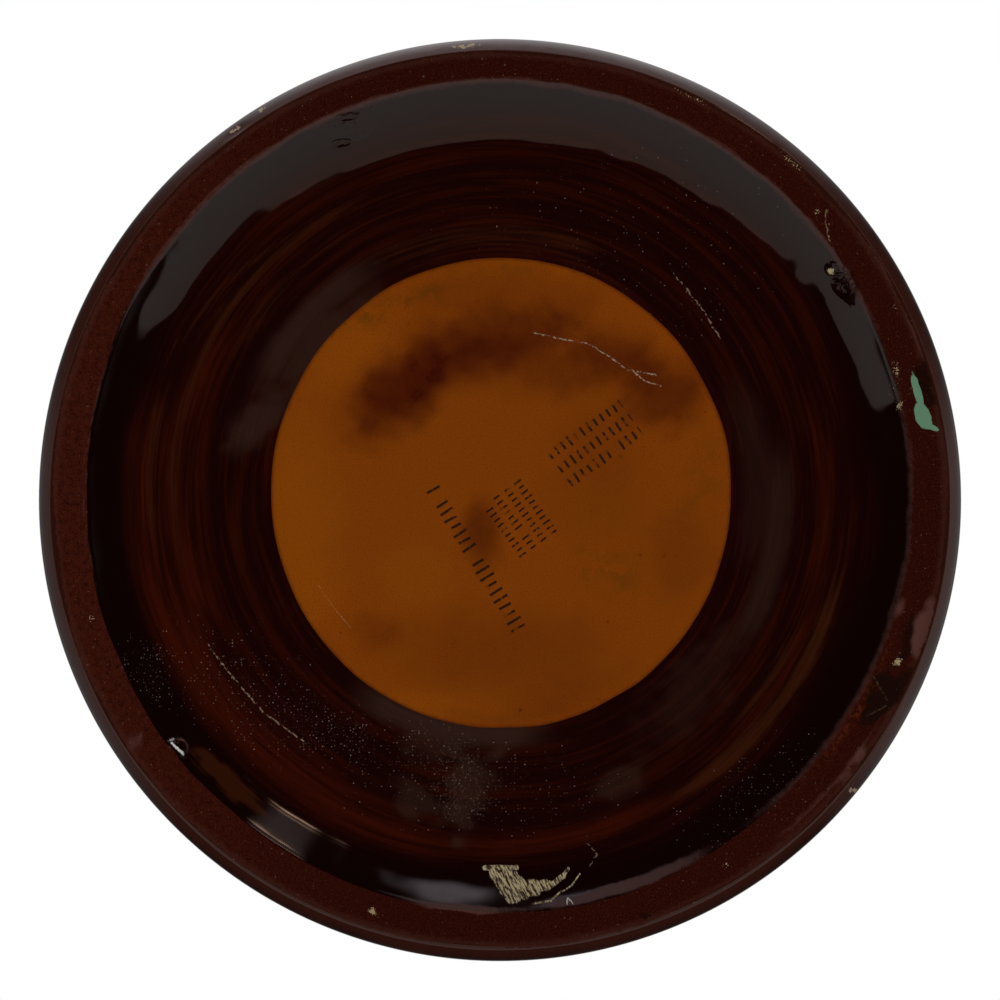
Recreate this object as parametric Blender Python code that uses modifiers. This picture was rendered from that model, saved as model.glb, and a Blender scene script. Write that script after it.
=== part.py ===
"""Stoneware flask: one fired piece with a hollow body, a narrow neck, a strap handle and a turned foot.

Metres, +Z up. The flask stands on its foot ring at height 0, and the origin is at the foot's centre.
The handle is on the +X side.
"""

import math

import bmesh
import bpy
from mathutils import Vector

MM = 0.001

# Foot: a flat standing ring around a shallow recess, which was turned a little off centre
FOOT_RADIUS = 44.9 * MM
FOOT_RING_WIDTH = 3.5 * MM
FOOT_RECESS_OFF_CENTRE = 0.6 * MM
FOOT_COVE_WIDTH = 5.4 * MM
FOOT_COVE_DEPTH = 3.6 * MM
FOOT_DISC_RADIUS = 23.2 * MM
FOOT_FLOOR_RISE = 1.2 * MM
HEEL_ROUND = 1.3 * MM

# Body, with each height counted from the one before it
BELLY_RADIUS = 47.6 * MM
BELLY_HEIGHT = 46.0 * MM
FLANK_RADIUS = 45.2 * MM
FLANK_ABOVE_BELLY = 49.0 * MM
SHOULDER_RADIUS = 31.5 * MM
SHOULDER_ABOVE_FLANK = 35.0 * MM
NECK_ABOVE_SHOULDER = 25.0 * MM
FLANK_LEAN = 0.75
SHOULDER_LEAN = 1.6
WALL = 5.0 * MM
BASE_THICKNESS = 5.5 * MM
FLOOR_ROUND = 8.0 * MM

# Neck, with a small cordon at its root, and the lip
BORE_RADIUS = 9.4 * MM
NECK_WALL = 5.0 * MM
NECK_LENGTH = 33.0 * MM
CORDON_SPACE = 4.0 * MM
CORDON_ROUND = 2.0 * MM
CORDON_STANDS_OUT = 1.3 * MM
LIP_OVERHANG = 3.2 * MM
LIP_HEIGHT = 12.0 * MM
LIP_ROUND = 3.4 * MM
LIP_LEDGE = 0.5 * MM
MOUTH_ROUND = 1.6 * MM

# Strap handle, from the neck under the lip down to the shoulder
HANDLE_THICKNESS = 6.8 * MM
HANDLE_WIDTH = 12.5 * MM
HANDLE_BELOW_LIP = 9.0 * MM
HANDLE_CROWN = 1.4 * MM
HANDLE_BEND_DROP = 21.5 * MM
HANDLE_FINGER_GAP = 21.0 * MM
HANDLE_DOWN_SHOULDER = 27.0 * MM
HANDLE_ROOT_SPREAD = 1.35
HANDLE_ROOT_REACH = 6
HANDLE_ROOT_DEPTH = 3.4 * MM

# Sizes that follow from the ones above
FOOT_RECESS_RADIUS = FOOT_RADIUS - FOOT_RING_WIDTH
FOOT_DISC_DEPTH = FOOT_COVE_DEPTH + FOOT_FLOOR_RISE
FLANK_HEIGHT = BELLY_HEIGHT + FLANK_ABOVE_BELLY
SHOULDER_HEIGHT = FLANK_HEIGHT + SHOULDER_ABOVE_FLANK
NECK_ROOT_HEIGHT = SHOULDER_HEIGHT + NECK_ABOVE_SHOULDER
NECK_TOP_HEIGHT = NECK_ROOT_HEIGHT + NECK_LENGTH
LIP_TOP_HEIGHT = NECK_TOP_HEIGHT + LIP_HEIGHT
NECK_RADIUS = BORE_RADIUS + NECK_WALL
LIP_RADIUS = NECK_RADIUS + LIP_OVERHANG
FLOOR_HEIGHT = FOOT_DISC_DEPTH + BASE_THICKNESS

SEGMENTS = 60
SPAN_STEPS = 5
HEEL_STEPS = 3
ARC_STEPS = 4
COVE_STEPS = 6
HANDLE_SPAN_STEPS = 5
HANDLE_BEVEL_RESOLUTION = 4
CUT_CLEARANCE = 2.0 * MM
MERGE_DISTANCE = 0.01 * MM

STONEWARE_COLOUR = (0.022, 0.004, 0.002, 1.0)
STONEWARE_ROUGHNESS = 0.15


def clear_scene():
    for obj in list(bpy.data.objects):
        bpy.data.objects.remove(obj)


def new_collection(name):
    collection = bpy.data.collections.new(name)
    bpy.context.scene.collection.children.link(collection)
    return collection


def glaze_material():
    material = bpy.data.materials.new("treacle_glaze")
    material.use_nodes = True
    shader = material.node_tree.nodes["Principled BSDF"]
    shader.inputs["Base Color"].default_value = STONEWARE_COLOUR
    shader.inputs["Roughness"].default_value = STONEWARE_ROUGHNESS
    shader.inputs["Metallic"].default_value = 0.0
    return material


def arc(centre_radius, centre_height, radius, first_angle, last_angle, steps=ARC_STEPS):
    """Points of an arc in the profile's plane, with angles in degrees from the outward direction."""
    points = []
    for i in range(steps + 1):
        angle = math.radians(first_angle + (last_angle - first_angle) * i / steps)
        points.append((centre_radius + radius * math.cos(angle), centre_height + radius * math.sin(angle)))
    return points


def span(start, end, steps=SPAN_STEPS):
    """A smooth stretch between two knots, each ((radius, height), direction), without its last point."""
    (p0, way0), (p1, way1) = start, end
    chord = math.dist(p0, p1)
    points = []
    for i in range(steps):
        t = i / steps
        from_start = (1 + 2 * t) * (1 - t) ** 2
        from_end = t * t * (3 - 2 * t)
        out_of_start = t * (1 - t) ** 2 * chord
        into_end = t * t * (t - 1) * chord
        points.append(
            tuple(
                from_start * p0[k] + from_end * p1[k] + out_of_start * way0[k] + into_end * way1[k]
                for k in (0, 1)
            )
        )
    return points


def unit(way):
    length = math.hypot(*way)
    return (way[0] / length, way[1] / length)


def knot(radius, height, way, inset):
    """A knot of the body's side, moved inwards by inset. The way runs up the side."""
    along = unit(way)
    return ((radius - inset * along[1], height + inset * along[0]), along)


def side_knots(inset, neck_radius):
    """Knots from the belly up to the neck's root: inset 0 is the outside, and WALL the inside."""
    flank_way = unit((SHOULDER_RADIUS - BELLY_RADIUS, SHOULDER_HEIGHT - BELLY_HEIGHT))
    shoulder_way = unit((NECK_RADIUS - FLANK_RADIUS, NECK_ROOT_HEIGHT - FLANK_HEIGHT))
    return [
        knot(BELLY_RADIUS, BELLY_HEIGHT, (0.0, 1.0), inset),
        knot(FLANK_RADIUS, FLANK_HEIGHT, (flank_way[0] * FLANK_LEAN, flank_way[1]), inset),
        knot(SHOULDER_RADIUS, SHOULDER_HEIGHT, (shoulder_way[0] * SHOULDER_LEAN, shoulder_way[1]), inset),
        ((neck_radius, NECK_ROOT_HEIGHT), (0.0, 1.0)),
    ]


def smooth_side(knots):
    points = []
    for lower, upper in zip(knots, knots[1:]):
        points += span(lower, upper)
    points.append(knots[-1][0])
    return points


def inside_profile():
    """From the middle of the cavity's floor, up its wall, to the bore's top."""
    wall = side_knots(WALL, BORE_RADIUS)
    corner_radius = FOOT_RADIUS - WALL
    corner_height = FLOOR_HEIGHT + FLOOR_ROUND
    points = [(0.0, FLOOR_HEIGHT)]
    points += arc(corner_radius - FLOOR_ROUND, corner_height, FLOOR_ROUND, -90, 0)[:-1]
    points += span(((corner_radius, corner_height), (0.0, 1.0)), wall[0], HEEL_STEPS)
    points += smooth_side(wall)
    points += arc(BORE_RADIUS + MOUTH_ROUND, LIP_TOP_HEIGHT - MOUTH_ROUND, MOUTH_ROUND, 180, 90)
    return points


def cordon_profile():
    """The cordon's half-round section, from its top to its foot."""
    centre_radius = NECK_RADIUS + CORDON_STANDS_OUT - CORDON_ROUND
    half_angle = math.degrees(math.acos((NECK_RADIUS - centre_radius) / CORDON_ROUND))
    return arc(centre_radius, NECK_ROOT_HEIGHT + CORDON_SPACE, CORDON_ROUND, half_angle, -half_angle)


def outside_profile():
    """From the lip's flat top, down the outside, to the middle of the underside."""
    outside = side_knots(0.0, NECK_RADIUS)
    under_round = LIP_OVERHANG - LIP_LEDGE
    heel_radius = FOOT_RADIUS + HEEL_ROUND
    heel_way = unit((BELLY_RADIUS - heel_radius, (BELLY_HEIGHT - HEEL_ROUND) / 2))
    points = arc(LIP_RADIUS - LIP_ROUND, LIP_TOP_HEIGHT - LIP_ROUND, LIP_ROUND, 90, 0)
    points += arc(LIP_RADIUS - under_round, NECK_TOP_HEIGHT + under_round, under_round, 0, -90)
    points.append((NECK_RADIUS, NECK_TOP_HEIGHT))
    points += cordon_profile()
    points += reversed(smooth_side(outside))
    points += reversed(span(((heel_radius, HEEL_ROUND), heel_way), outside[0], HEEL_STEPS)[1:])
    points += arc(FOOT_RADIUS, HEEL_ROUND, HEEL_ROUND, 0, -90)
    points.append((0.0, 0.0))
    return points


def turned(name, profile, collection, centre=(0.0, 0.0)):
    """A solid of revolution about a vertical axis through centre. The profile runs down its outer side."""
    mesh = bpy.data.meshes.new(name)
    vertices = [(radius, 0.0, height) for radius, height in profile]
    mesh.from_pydata(vertices, [(i, i + 1) for i in range(len(vertices) - 1)], [])
    obj = bpy.data.objects.new(name, mesh)
    obj.location = (*centre, 0.0)
    collection.objects.link(obj)
    screw = obj.modifiers.new("turn", "SCREW")
    screw.angle = math.tau
    screw.steps = SEGMENTS
    screw.render_steps = SEGMENTS
    screw.use_merge_vertices = True
    screw.merge_threshold = MERGE_DISTANCE
    return obj


def recess_cutter(collection):
    """The space under the foot: a cove, a gently rising floor and a flat disc."""
    edge = FOOT_RECESS_RADIUS
    below = edge + CUT_CLEARANCE * FOOT_COVE_WIDTH / (FOOT_COVE_DEPTH * math.pi / 2)
    profile = [(0.0, FOOT_DISC_DEPTH), (FOOT_DISC_RADIUS, FOOT_DISC_DEPTH)]
    for i in range(COVE_STEPS + 1):
        t = 1 - i / COVE_STEPS
        profile.append((edge - FOOT_COVE_WIDTH * t, FOOT_COVE_DEPTH * math.sin(t * math.pi / 2)))
    profile += [(below, -CUT_CLEARANCE), (0.0, -CUT_CLEARANCE)]
    cutter = turned("foot_recess", profile, collection, (0.0, -FOOT_RECESS_OFF_CENTRE))
    return as_helper(cutter)


def as_helper(obj):
    obj.hide_render = True
    obj.display_type = "WIRE"
    return obj


def side_point(height):
    """Radius of the body's outside at a height on the shoulder or flank, and the outward normal there."""
    points = smooth_side(side_knots(0.0, NECK_RADIUS))
    for lower, upper in zip(points, points[1:]):
        if lower[1] <= height <= upper[1]:
            share = (height - lower[1]) / (upper[1] - lower[1])
            along = unit((upper[0] - lower[0], upper[1] - lower[1]))
            return lower[0] + (upper[0] - lower[0]) * share, Vector((along[1], 0.0, -along[0]))
    raise ValueError("the handle's root is off the body's side")


def handle_route():
    """Knots of the handle's middle line in the XZ plane, from inside the neck's wall to inside the shoulder's."""
    start_height = NECK_TOP_HEIGHT - HANDLE_BELOW_LIP
    crown_radius = NECK_RADIUS + HANDLE_FINGER_GAP / 2
    bend_radius = NECK_RADIUS + HANDLE_FINGER_GAP + HANDLE_THICKNESS / 2
    root_height = NECK_ROOT_HEIGHT - HANDLE_DOWN_SHOULDER
    root_radius, root_normal = side_point(root_height)
    root = Vector((root_radius, 0.0, root_height)) - root_normal * HANDLE_ROOT_DEPTH
    rise = unit((crown_radius - NECK_RADIUS, HANDLE_CROWN))
    return [
        ((NECK_RADIUS - HANDLE_ROOT_DEPTH, start_height), rise),
        ((crown_radius, start_height + HANDLE_CROWN), (1.0, 0.0)),
        ((bend_radius, start_height - HANDLE_BEND_DROP), (0.0, -1.0)),
        ((root.x, root.z), (-root_normal.x, -root_normal.z)),
    ]


def handle_line():
    """Points along the handle's route, as one smooth curve."""
    knots = handle_route()
    points = []
    for start, end in zip(knots, knots[1:]):
        points += span(start, end, HANDLE_SPAN_STEPS)
    points.append(knots[-1][0])
    return points


def strap_handle(collection):
    """A flattened tube that spreads where it meets the neck and the shoulder."""
    data = bpy.data.curves.new("strap_line", "CURVE")
    data.dimensions = "3D"
    data.bevel_depth = HANDLE_THICKNESS / 2
    data.bevel_resolution = HANDLE_BEVEL_RESOLUTION
    data.use_fill_caps = True
    line = handle_line()
    spline = data.splines.new("POLY")
    spline.points.add(len(line) - 1)
    for i, (x, z) in enumerate(line):
        nearness = abs(2 * i / (len(line) - 1) - 1) ** HANDLE_ROOT_REACH
        spline.points[i].co = (x, 0.0, z, 1.0)
        spline.points[i].radius = 1 + (HANDLE_ROOT_SPREAD - 1) * nearness
    curve = bpy.data.objects.new("strap_line", data)
    collection.objects.link(curve)
    graph = bpy.context.evaluated_depsgraph_get()
    mesh = bpy.data.meshes.new_from_object(curve.evaluated_get(graph))
    cage = bmesh.new()
    cage.from_mesh(mesh)
    bmesh.ops.remove_doubles(cage, verts=cage.verts, dist=MERGE_DISTANCE)
    bmesh.ops.scale(cage, vec=(1.0, HANDLE_WIDTH / HANDLE_THICKNESS, 1.0), verts=cage.verts)
    bmesh.ops.recalc_face_normals(cage, faces=cage.faces)
    cage.to_mesh(mesh)
    cage.free()
    handle = bpy.data.objects.new("strap_handle", mesh)
    handle.matrix_world = curve.matrix_world
    collection.objects.link(handle)
    bpy.data.objects.remove(curve)
    return as_helper(handle)


def boolean(obj, name, operation, other):
    modifier = obj.modifiers.new(name, "BOOLEAN")
    modifier.operation = operation
    modifier.solver = "EXACT"
    modifier.object = other
    return modifier


def main():
    clear_scene()
    parts = new_collection("stoneware_flask")
    helpers = new_collection("helpers")
    flask = turned("flask", inside_profile() + outside_profile(), parts)
    boolean(flask, "turn_out_the_foot", "DIFFERENCE", recess_cutter(helpers))
    boolean(flask, "join_the_handle", "UNION", strap_handle(helpers))
    flask.data.materials.append(glaze_material())
    flask.data.shade_smooth()


main()
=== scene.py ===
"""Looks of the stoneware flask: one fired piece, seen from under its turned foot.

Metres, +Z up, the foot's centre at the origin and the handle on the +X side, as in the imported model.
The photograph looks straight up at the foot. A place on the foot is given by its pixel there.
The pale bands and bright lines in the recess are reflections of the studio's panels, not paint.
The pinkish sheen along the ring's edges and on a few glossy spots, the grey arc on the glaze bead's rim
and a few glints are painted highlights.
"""

import logging
import math
from dataclasses import dataclass
from enum import Enum

import bmesh
import bpy
import numpy as np
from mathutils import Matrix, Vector


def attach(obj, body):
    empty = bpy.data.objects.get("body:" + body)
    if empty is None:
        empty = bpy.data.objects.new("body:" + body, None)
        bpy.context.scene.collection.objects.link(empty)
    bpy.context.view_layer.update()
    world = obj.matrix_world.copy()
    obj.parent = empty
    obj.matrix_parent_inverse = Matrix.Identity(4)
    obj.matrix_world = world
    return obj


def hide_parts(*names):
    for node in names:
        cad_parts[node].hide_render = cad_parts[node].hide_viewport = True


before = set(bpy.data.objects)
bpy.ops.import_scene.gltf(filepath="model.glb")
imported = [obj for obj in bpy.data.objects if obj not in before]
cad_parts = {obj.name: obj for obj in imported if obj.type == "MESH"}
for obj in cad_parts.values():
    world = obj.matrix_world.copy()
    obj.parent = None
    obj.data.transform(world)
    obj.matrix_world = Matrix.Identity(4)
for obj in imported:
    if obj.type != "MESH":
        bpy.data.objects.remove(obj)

LOG = logging.getLogger("flask")
MM = 0.001
MERGE_DISTANCE = 0.004 * MM
Colour = tuple[float, float, float, float]
Point = tuple[float, float]


# Plain geometry shared by the classes


def unit(way: Point) -> Point:
    """A direction in the profile's plane, made one long."""
    length = math.hypot(*way)
    return (way[0] / length, way[1] / length)


def span(start: tuple[Point, Point], end: tuple[Point, Point], steps: int) -> list[Point]:
    """A smooth stretch between two knots, without its last point.

    Args:
        start: The first knot, a point and the direction there.
        end: The last knot, in the same form.
        steps: How many parts the stretch has.

    Returns:
        The points in order.
    """
    (p0, way0), (p1, way1) = start, end
    chord = math.dist(p0, p1)
    points = []
    for i in range(steps):
        t = i / steps
        from_start = (1 + 2 * t) * (1 - t) ** 2
        from_end = t * t * (3 - 2 * t)
        out_of_start = t * (1 - t) ** 2 * chord
        into_end = t * t * (t - 1) * chord
        points.append(
            tuple(
                from_start * p0[k] + from_end * p1[k] + out_of_start * way0[k] + into_end * way1[k]
                for k in (0, 1)
            )
        )
    return points


def arc(centre: Point, radius: float, first_angle: float, last_angle: float, steps: int) -> list[Point]:
    """Points of an arc in the profile's plane.

    Args:
        centre: The arc's centre, as radius and height.
        radius: The arc's radius.
        first_angle: Degrees from the outward direction.
        last_angle: Degrees at the other end.
        steps: How many parts the arc has.

    Returns:
        The points, with both ends.
    """
    points = []
    for i in range(steps + 1):
        angle = math.radians(first_angle + (last_angle - first_angle) * i / steps)
        points.append((centre[0] + radius * math.cos(angle), centre[1] + radius * math.sin(angle)))
    return points


def stretch(start: Point, end: Point, steps: int) -> list[Point]:
    """A straight stretch, without its last point.

    Args:
        start: The first point.
        end: The last point.
        steps: How many parts the stretch has.

    Returns:
        The points in order.
    """
    return [tuple(start[k] + (end[k] - start[k]) * i / steps for k in (0, 1)) for i in range(steps)]


def soft_step(values: np.ndarray, low: float, high: float) -> np.ndarray:
    """A smooth rise from 0 at low to 1 at high.

    Args:
        values: The numbers to shape.
        low: Where the rise starts.
        high: Where it ends.

    Returns:
        The shaped numbers.
    """
    t = np.clip((values - low) / (high - low), 0.0, 1.0)
    return t * t * (3 - 2 * t)


def ripples(places: np.ndarray, wave: float, seed: int, count: int = 9) -> np.ndarray:
    """A smooth uneven field between about -1 and 1, as a hand leaves in clay.

    Args:
        places: Points, one a row, in metres.
        wave: The typical length of a wave, in metres.
        seed: Picks the field.
        count: How many waves are added.

    Returns:
        One number for each point.
    """
    rng = np.random.default_rng(seed)
    ways = rng.normal(size=(count, places.shape[1]))
    ways /= np.linalg.norm(ways, axis=1)[:, None]
    pitches = math.tau / (wave * rng.uniform(0.6, 1.6, count))
    phases = rng.uniform(0, math.tau, count)
    waves = np.sin(places @ (ways * pitches[:, None]).T + phases)
    return waves.sum(axis=1) / math.sqrt(count * 2)


# The photograph's square and the places on the foot in it

CAMERA_DISTANCE = 850 * MM
PIXEL = 0.1 * MM
FRAME_MIDDLE = 499.0


def seen(px: float, py: float, height: float = 0.0) -> Point:
    """The place on the foot that a pixel of the photograph shows.

    Args:
        px: Pixels from the left.
        py: Pixels from the top.
        height: How far the place is above the table, in metres.

    Returns:
        X and Y in metres.
    """
    reach = PIXEL * (1 + height / CAMERA_DISTANCE)
    return ((px - FRAME_MIDDLE) * reach, (py - FRAME_MIDDLE) * reach)


# Shader building


class Tone:
    """A number that a node gives. Sums on it add Math nodes."""

    def __init__(self, bench: "Bench", socket: bpy.types.NodeSocket) -> None:
        """Keeps the socket and the bench that adds its nodes."""
        self.bench = bench
        self.socket = socket

    def __add__(self, other: "Tone | float") -> "Tone":
        """This tone plus other."""
        return self.bench.math("ADD", self, other)

    def __sub__(self, other: "Tone | float") -> "Tone":
        """This tone less other."""
        return self.bench.math("SUBTRACT", self, other)

    def __rsub__(self, other: "Tone | float") -> "Tone":
        """Other less this tone."""
        return self.bench.math("SUBTRACT", other, self)

    def __mul__(self, other: "Tone | float") -> "Tone":
        """This tone times other."""
        return self.bench.math("MULTIPLY", self, other)

    def __truediv__(self, other: "Tone | float") -> "Tone":
        """This tone over other."""
        return self.bench.math("DIVIDE", self, other)

    def __pow__(self, other: "Tone | float") -> "Tone":
        """This tone to the power of other."""
        return self.bench.math("POWER", self, other)

    def __abs__(self) -> "Tone":
        """This tone without its sign."""
        return self.bench.math("ABSOLUTE", self)

    __radd__ = __add__
    __rmul__ = __mul__


class Bench:
    """Adds the nodes of one finish to its node tree."""

    def __init__(self, tree: bpy.types.NodeTree) -> None:
        """Keeps the tree."""
        self.tree = tree

    def feed(self, socket: bpy.types.NodeSocket, value: object) -> None:
        """Links a tone or socket to a socket, or sets its value."""
        if isinstance(value, Tone):
            value = value.socket
        if isinstance(value, bpy.types.NodeSocket):
            self.tree.links.new(value, socket)
        else:
            socket.default_value = value

    def node(self, kind: str, settings: dict | None = None, inputs: dict | None = None) -> bpy.types.Node:
        """Adds one node.

        Args:
            kind: The node's type.
            settings: Its properties by name, set first.
            inputs: A value, tone or socket for each input, by name or number.

        Returns:
            The node.
        """
        made = self.tree.nodes.new(kind)
        for name, value in (settings or {}).items():
            setattr(made, name, value)
        for key, value in (inputs or {}).items():
            self.feed(made.inputs[key], value)
        return made

    def tone(
        self, kind: str, settings: dict | None = None, inputs: dict | None = None, out: int | str = 0
    ) -> Tone:
        """Adds one node and wraps one of its outputs.

        Args:
            kind: The node's type.
            settings: Its properties by name.
            inputs: What its inputs get.
            out: The output, by name or number.

        Returns:
            The output as a tone.
        """
        return Tone(self, self.node(kind, settings, inputs).outputs[out])

    def math(self, operation: str, first: Tone | float, second: Tone | float = 0.0) -> Tone:
        """A Math node on one or two numbers."""
        return self.tone("ShaderNodeMath", {"operation": operation}, {0: first, 1: second})

    def rise(self, value: Tone, low: float | Tone, high: float | Tone) -> Tone:
        """A smooth rise from 0 at low to 1 at high."""
        settings = {"interpolation_type": "SMOOTHSTEP"}
        return self.tone("ShaderNodeMapRange", settings, {0: value, 1: low, 2: high})

    def fall(self, value: Tone, low: float | Tone, high: float | Tone) -> Tone:
        """A smooth fall from 1 at low to 0 at high."""
        return 1 - self.rise(value, low, high)

    def noise(
        self,
        where: bpy.types.NodeSocket,
        scale: float,
        detail: float = 1.0,
        roughness: float = 0.5,
        solid: bool = False,
    ) -> Tone:
        """Noise around 0.5.

        Args:
            where: The coordinates that it reads.
            scale: Waves to each unit of them.
            detail: How many finer layers it has.
            roughness: How strong the finer layers are.
            solid: Whether it changes with all three coordinates, or the first two alone.

        Returns:
            The noise.
        """
        inputs = {"Vector": where, "Scale": scale, "Detail": detail, "Roughness": roughness}
        settings = {"noise_dimensions": "3D" if solid else "2D"}
        return self.tone("ShaderNodeTexNoise", settings, inputs)

    def vector(self, operation: str, first: object, second: object) -> bpy.types.NodeSocket:
        """A Vector Math node that gives a vector."""
        return self.node("ShaderNodeVectorMath", {"operation": operation}, {0: first, 1: second}).outputs[0]

    def scaled(self, first: object, scale: Tone | float) -> bpy.types.NodeSocket:
        """A vector times a number."""
        return self.node("ShaderNodeVectorMath", {"operation": "SCALE"}, {0: first, 3: scale}).outputs[0]

    def measure(self, operation: str, first: object, second: object = (0.0, 0.0, 0.0)) -> Tone:
        """A Vector Math node that gives a number."""
        return self.tone("ShaderNodeVectorMath", {"operation": operation}, {0: first, 1: second}, 1)

    def joined(self, x: Tone | float, y: Tone | float, z: Tone | float = 0.0) -> bpy.types.NodeSocket:
        """Three numbers as one vector."""
        return self.node("ShaderNodeCombineXYZ", {}, {0: x, 1: y, 2: z}).outputs[0]

    def mix(self, share: Tone | float, first: object, second: object) -> bpy.types.NodeSocket:
        """Mixes two colours.

        Args:
            share: How much of the second, 0 to 1.
            first: The first colour.
            second: The second colour.

        Returns:
            The mixed colour.
        """
        settings = {"data_type": "RGBA"}
        return self.node("ShaderNodeMix", settings, {0: share, 6: first, 7: second}).outputs[2]

    def layer(self, name: str) -> Tone:
        """A painted layer of the mesh."""
        return self.tone("ShaderNodeAttribute", {"attribute_name": name}, {}, "Fac")

    def curve(self, value: Tone, spread: Point, top: float, points: tuple[Point, ...]) -> Tone:
        """A number read off a drawn curve.

        Args:
            value: What is looked up.
            spread: The values at the curve's two ends.
            top: The greatest result.
            points: Values with their results.

        Returns:
            The result.
        """
        low, high = spread
        made = self.node("ShaderNodeFloatCurve", {}, {1: (value - low) / (high - low)})
        drawn = made.mapping.curves[0].points
        for spot, result in points:
            drawn.new((spot - low) / (high - low), result / top)
        drawn.remove(drawn[0])
        drawn.remove(drawn[len(drawn) - 1])
        made.mapping.update()
        return Tone(self, made.outputs[0]) * top

    def near_line(self, where: bpy.types.NodeSocket, start: Point, end: Point) -> Tone:
        """Distance from a short straight line on the foot.

        Args:
            where: Coordinates in millimetres with no height.
            start: One end, in metres.
            end: The other end.

        Returns:
            The distance in millimetres.
        """
        a = Vector((*start, 0.0)) / MM
        along = Vector((*end, 0.0)) / MM - a
        away = self.vector("SUBTRACT", where, tuple(a))
        share = self.measure("DOT_PRODUCT", away, tuple(along / along.length_squared))
        held = self.tone("ShaderNodeClamp", {}, {0: share})
        return self.measure("DISTANCE", away, self.scaled(tuple(along), held))


def new_material(name: str) -> tuple[bpy.types.Material, Bench, bpy.types.Node]:
    """A node material with its Principled shader.

    Args:
        name: The material's name.

    Returns:
        The material, the bench for its nodes and the shader.
    """
    material = bpy.data.materials.new(name)
    material.use_nodes = True
    bench = Bench(material.node_tree)
    return material, bench, material.node_tree.nodes["Principled BSDF"]


# Layers that are painted on the mesh


class Layer(Enum):
    """A painted layer on the foot, read by the finishes."""

    BURNT = "burnt"
    OLIVE = "olive"
    YELLOW = "yellow"
    FILM = "film"
    WARM = "warm"
    TAN = "tan"
    DUST = "dust"
    # Painted highlight: the pinkish sheen along the ring's edges and on a few glossy spots
    PAINTED_PINK_HIGHLIGHT = "pink"
    RUN = "run"
    CHIP = "chip"


@dataclass(frozen=True)
class Wash:
    """A soft oval of a layer, by its pixels in the photograph."""

    x: float
    y: float
    long: float
    wide: float
    turn: float = 0.0
    strength: float = 1.0
    ragged: float = 0.12

    def amount(self, px: np.ndarray, py: np.ndarray, rough: np.ndarray) -> np.ndarray:
        """How much of the wash there is at each place.

        Args:
            px: Pixels from the left of each place.
            py: Pixels from the top.
            rough: An uneven field that makes the edge ragged.

        Returns:
            The amount, 0 to 1.
        """
        turn = math.radians(self.turn)
        dx = px - self.x
        dy = py - self.y
        along = (dx * math.cos(turn) + dy * math.sin(turn)) / self.long
        across = (dy * math.cos(turn) - dx * math.sin(turn)) / self.wide
        reach = np.hypot(along, across) + rough * self.ragged
        return self.strength * (1 - soft_step(reach, 0.25, 1.05))


@dataclass(frozen=True)
class Sweep:
    """A brushed band of a layer around the recess, by pixels and degrees in the photograph."""

    radius: float
    width: float
    start: float
    end: float
    strength: float
    drift: float = 0.0
    fade: float = 14.0

    def amount(self, radius: np.ndarray, angle: np.ndarray, rough: np.ndarray) -> np.ndarray:
        """How much of the band there is at each place.

        Args:
            radius: Pixels from the recess's middle of each place.
            angle: Degrees from the photograph's right, towards its bottom.
            rough: An uneven field that makes the edge ragged.

        Returns:
            The amount, 0 to 1.
        """
        long = self.end - self.start
        turned = (angle - self.start) % 360.0
        middle = self.radius + self.drift * turned / long
        across = np.abs(radius + rough * 1.2 - middle) / self.width
        along = soft_step(np.minimum(turned, long - turned), 0.0, self.fade)
        return self.strength * along * (1 - soft_step(across, 0.2, 1.0))


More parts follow.
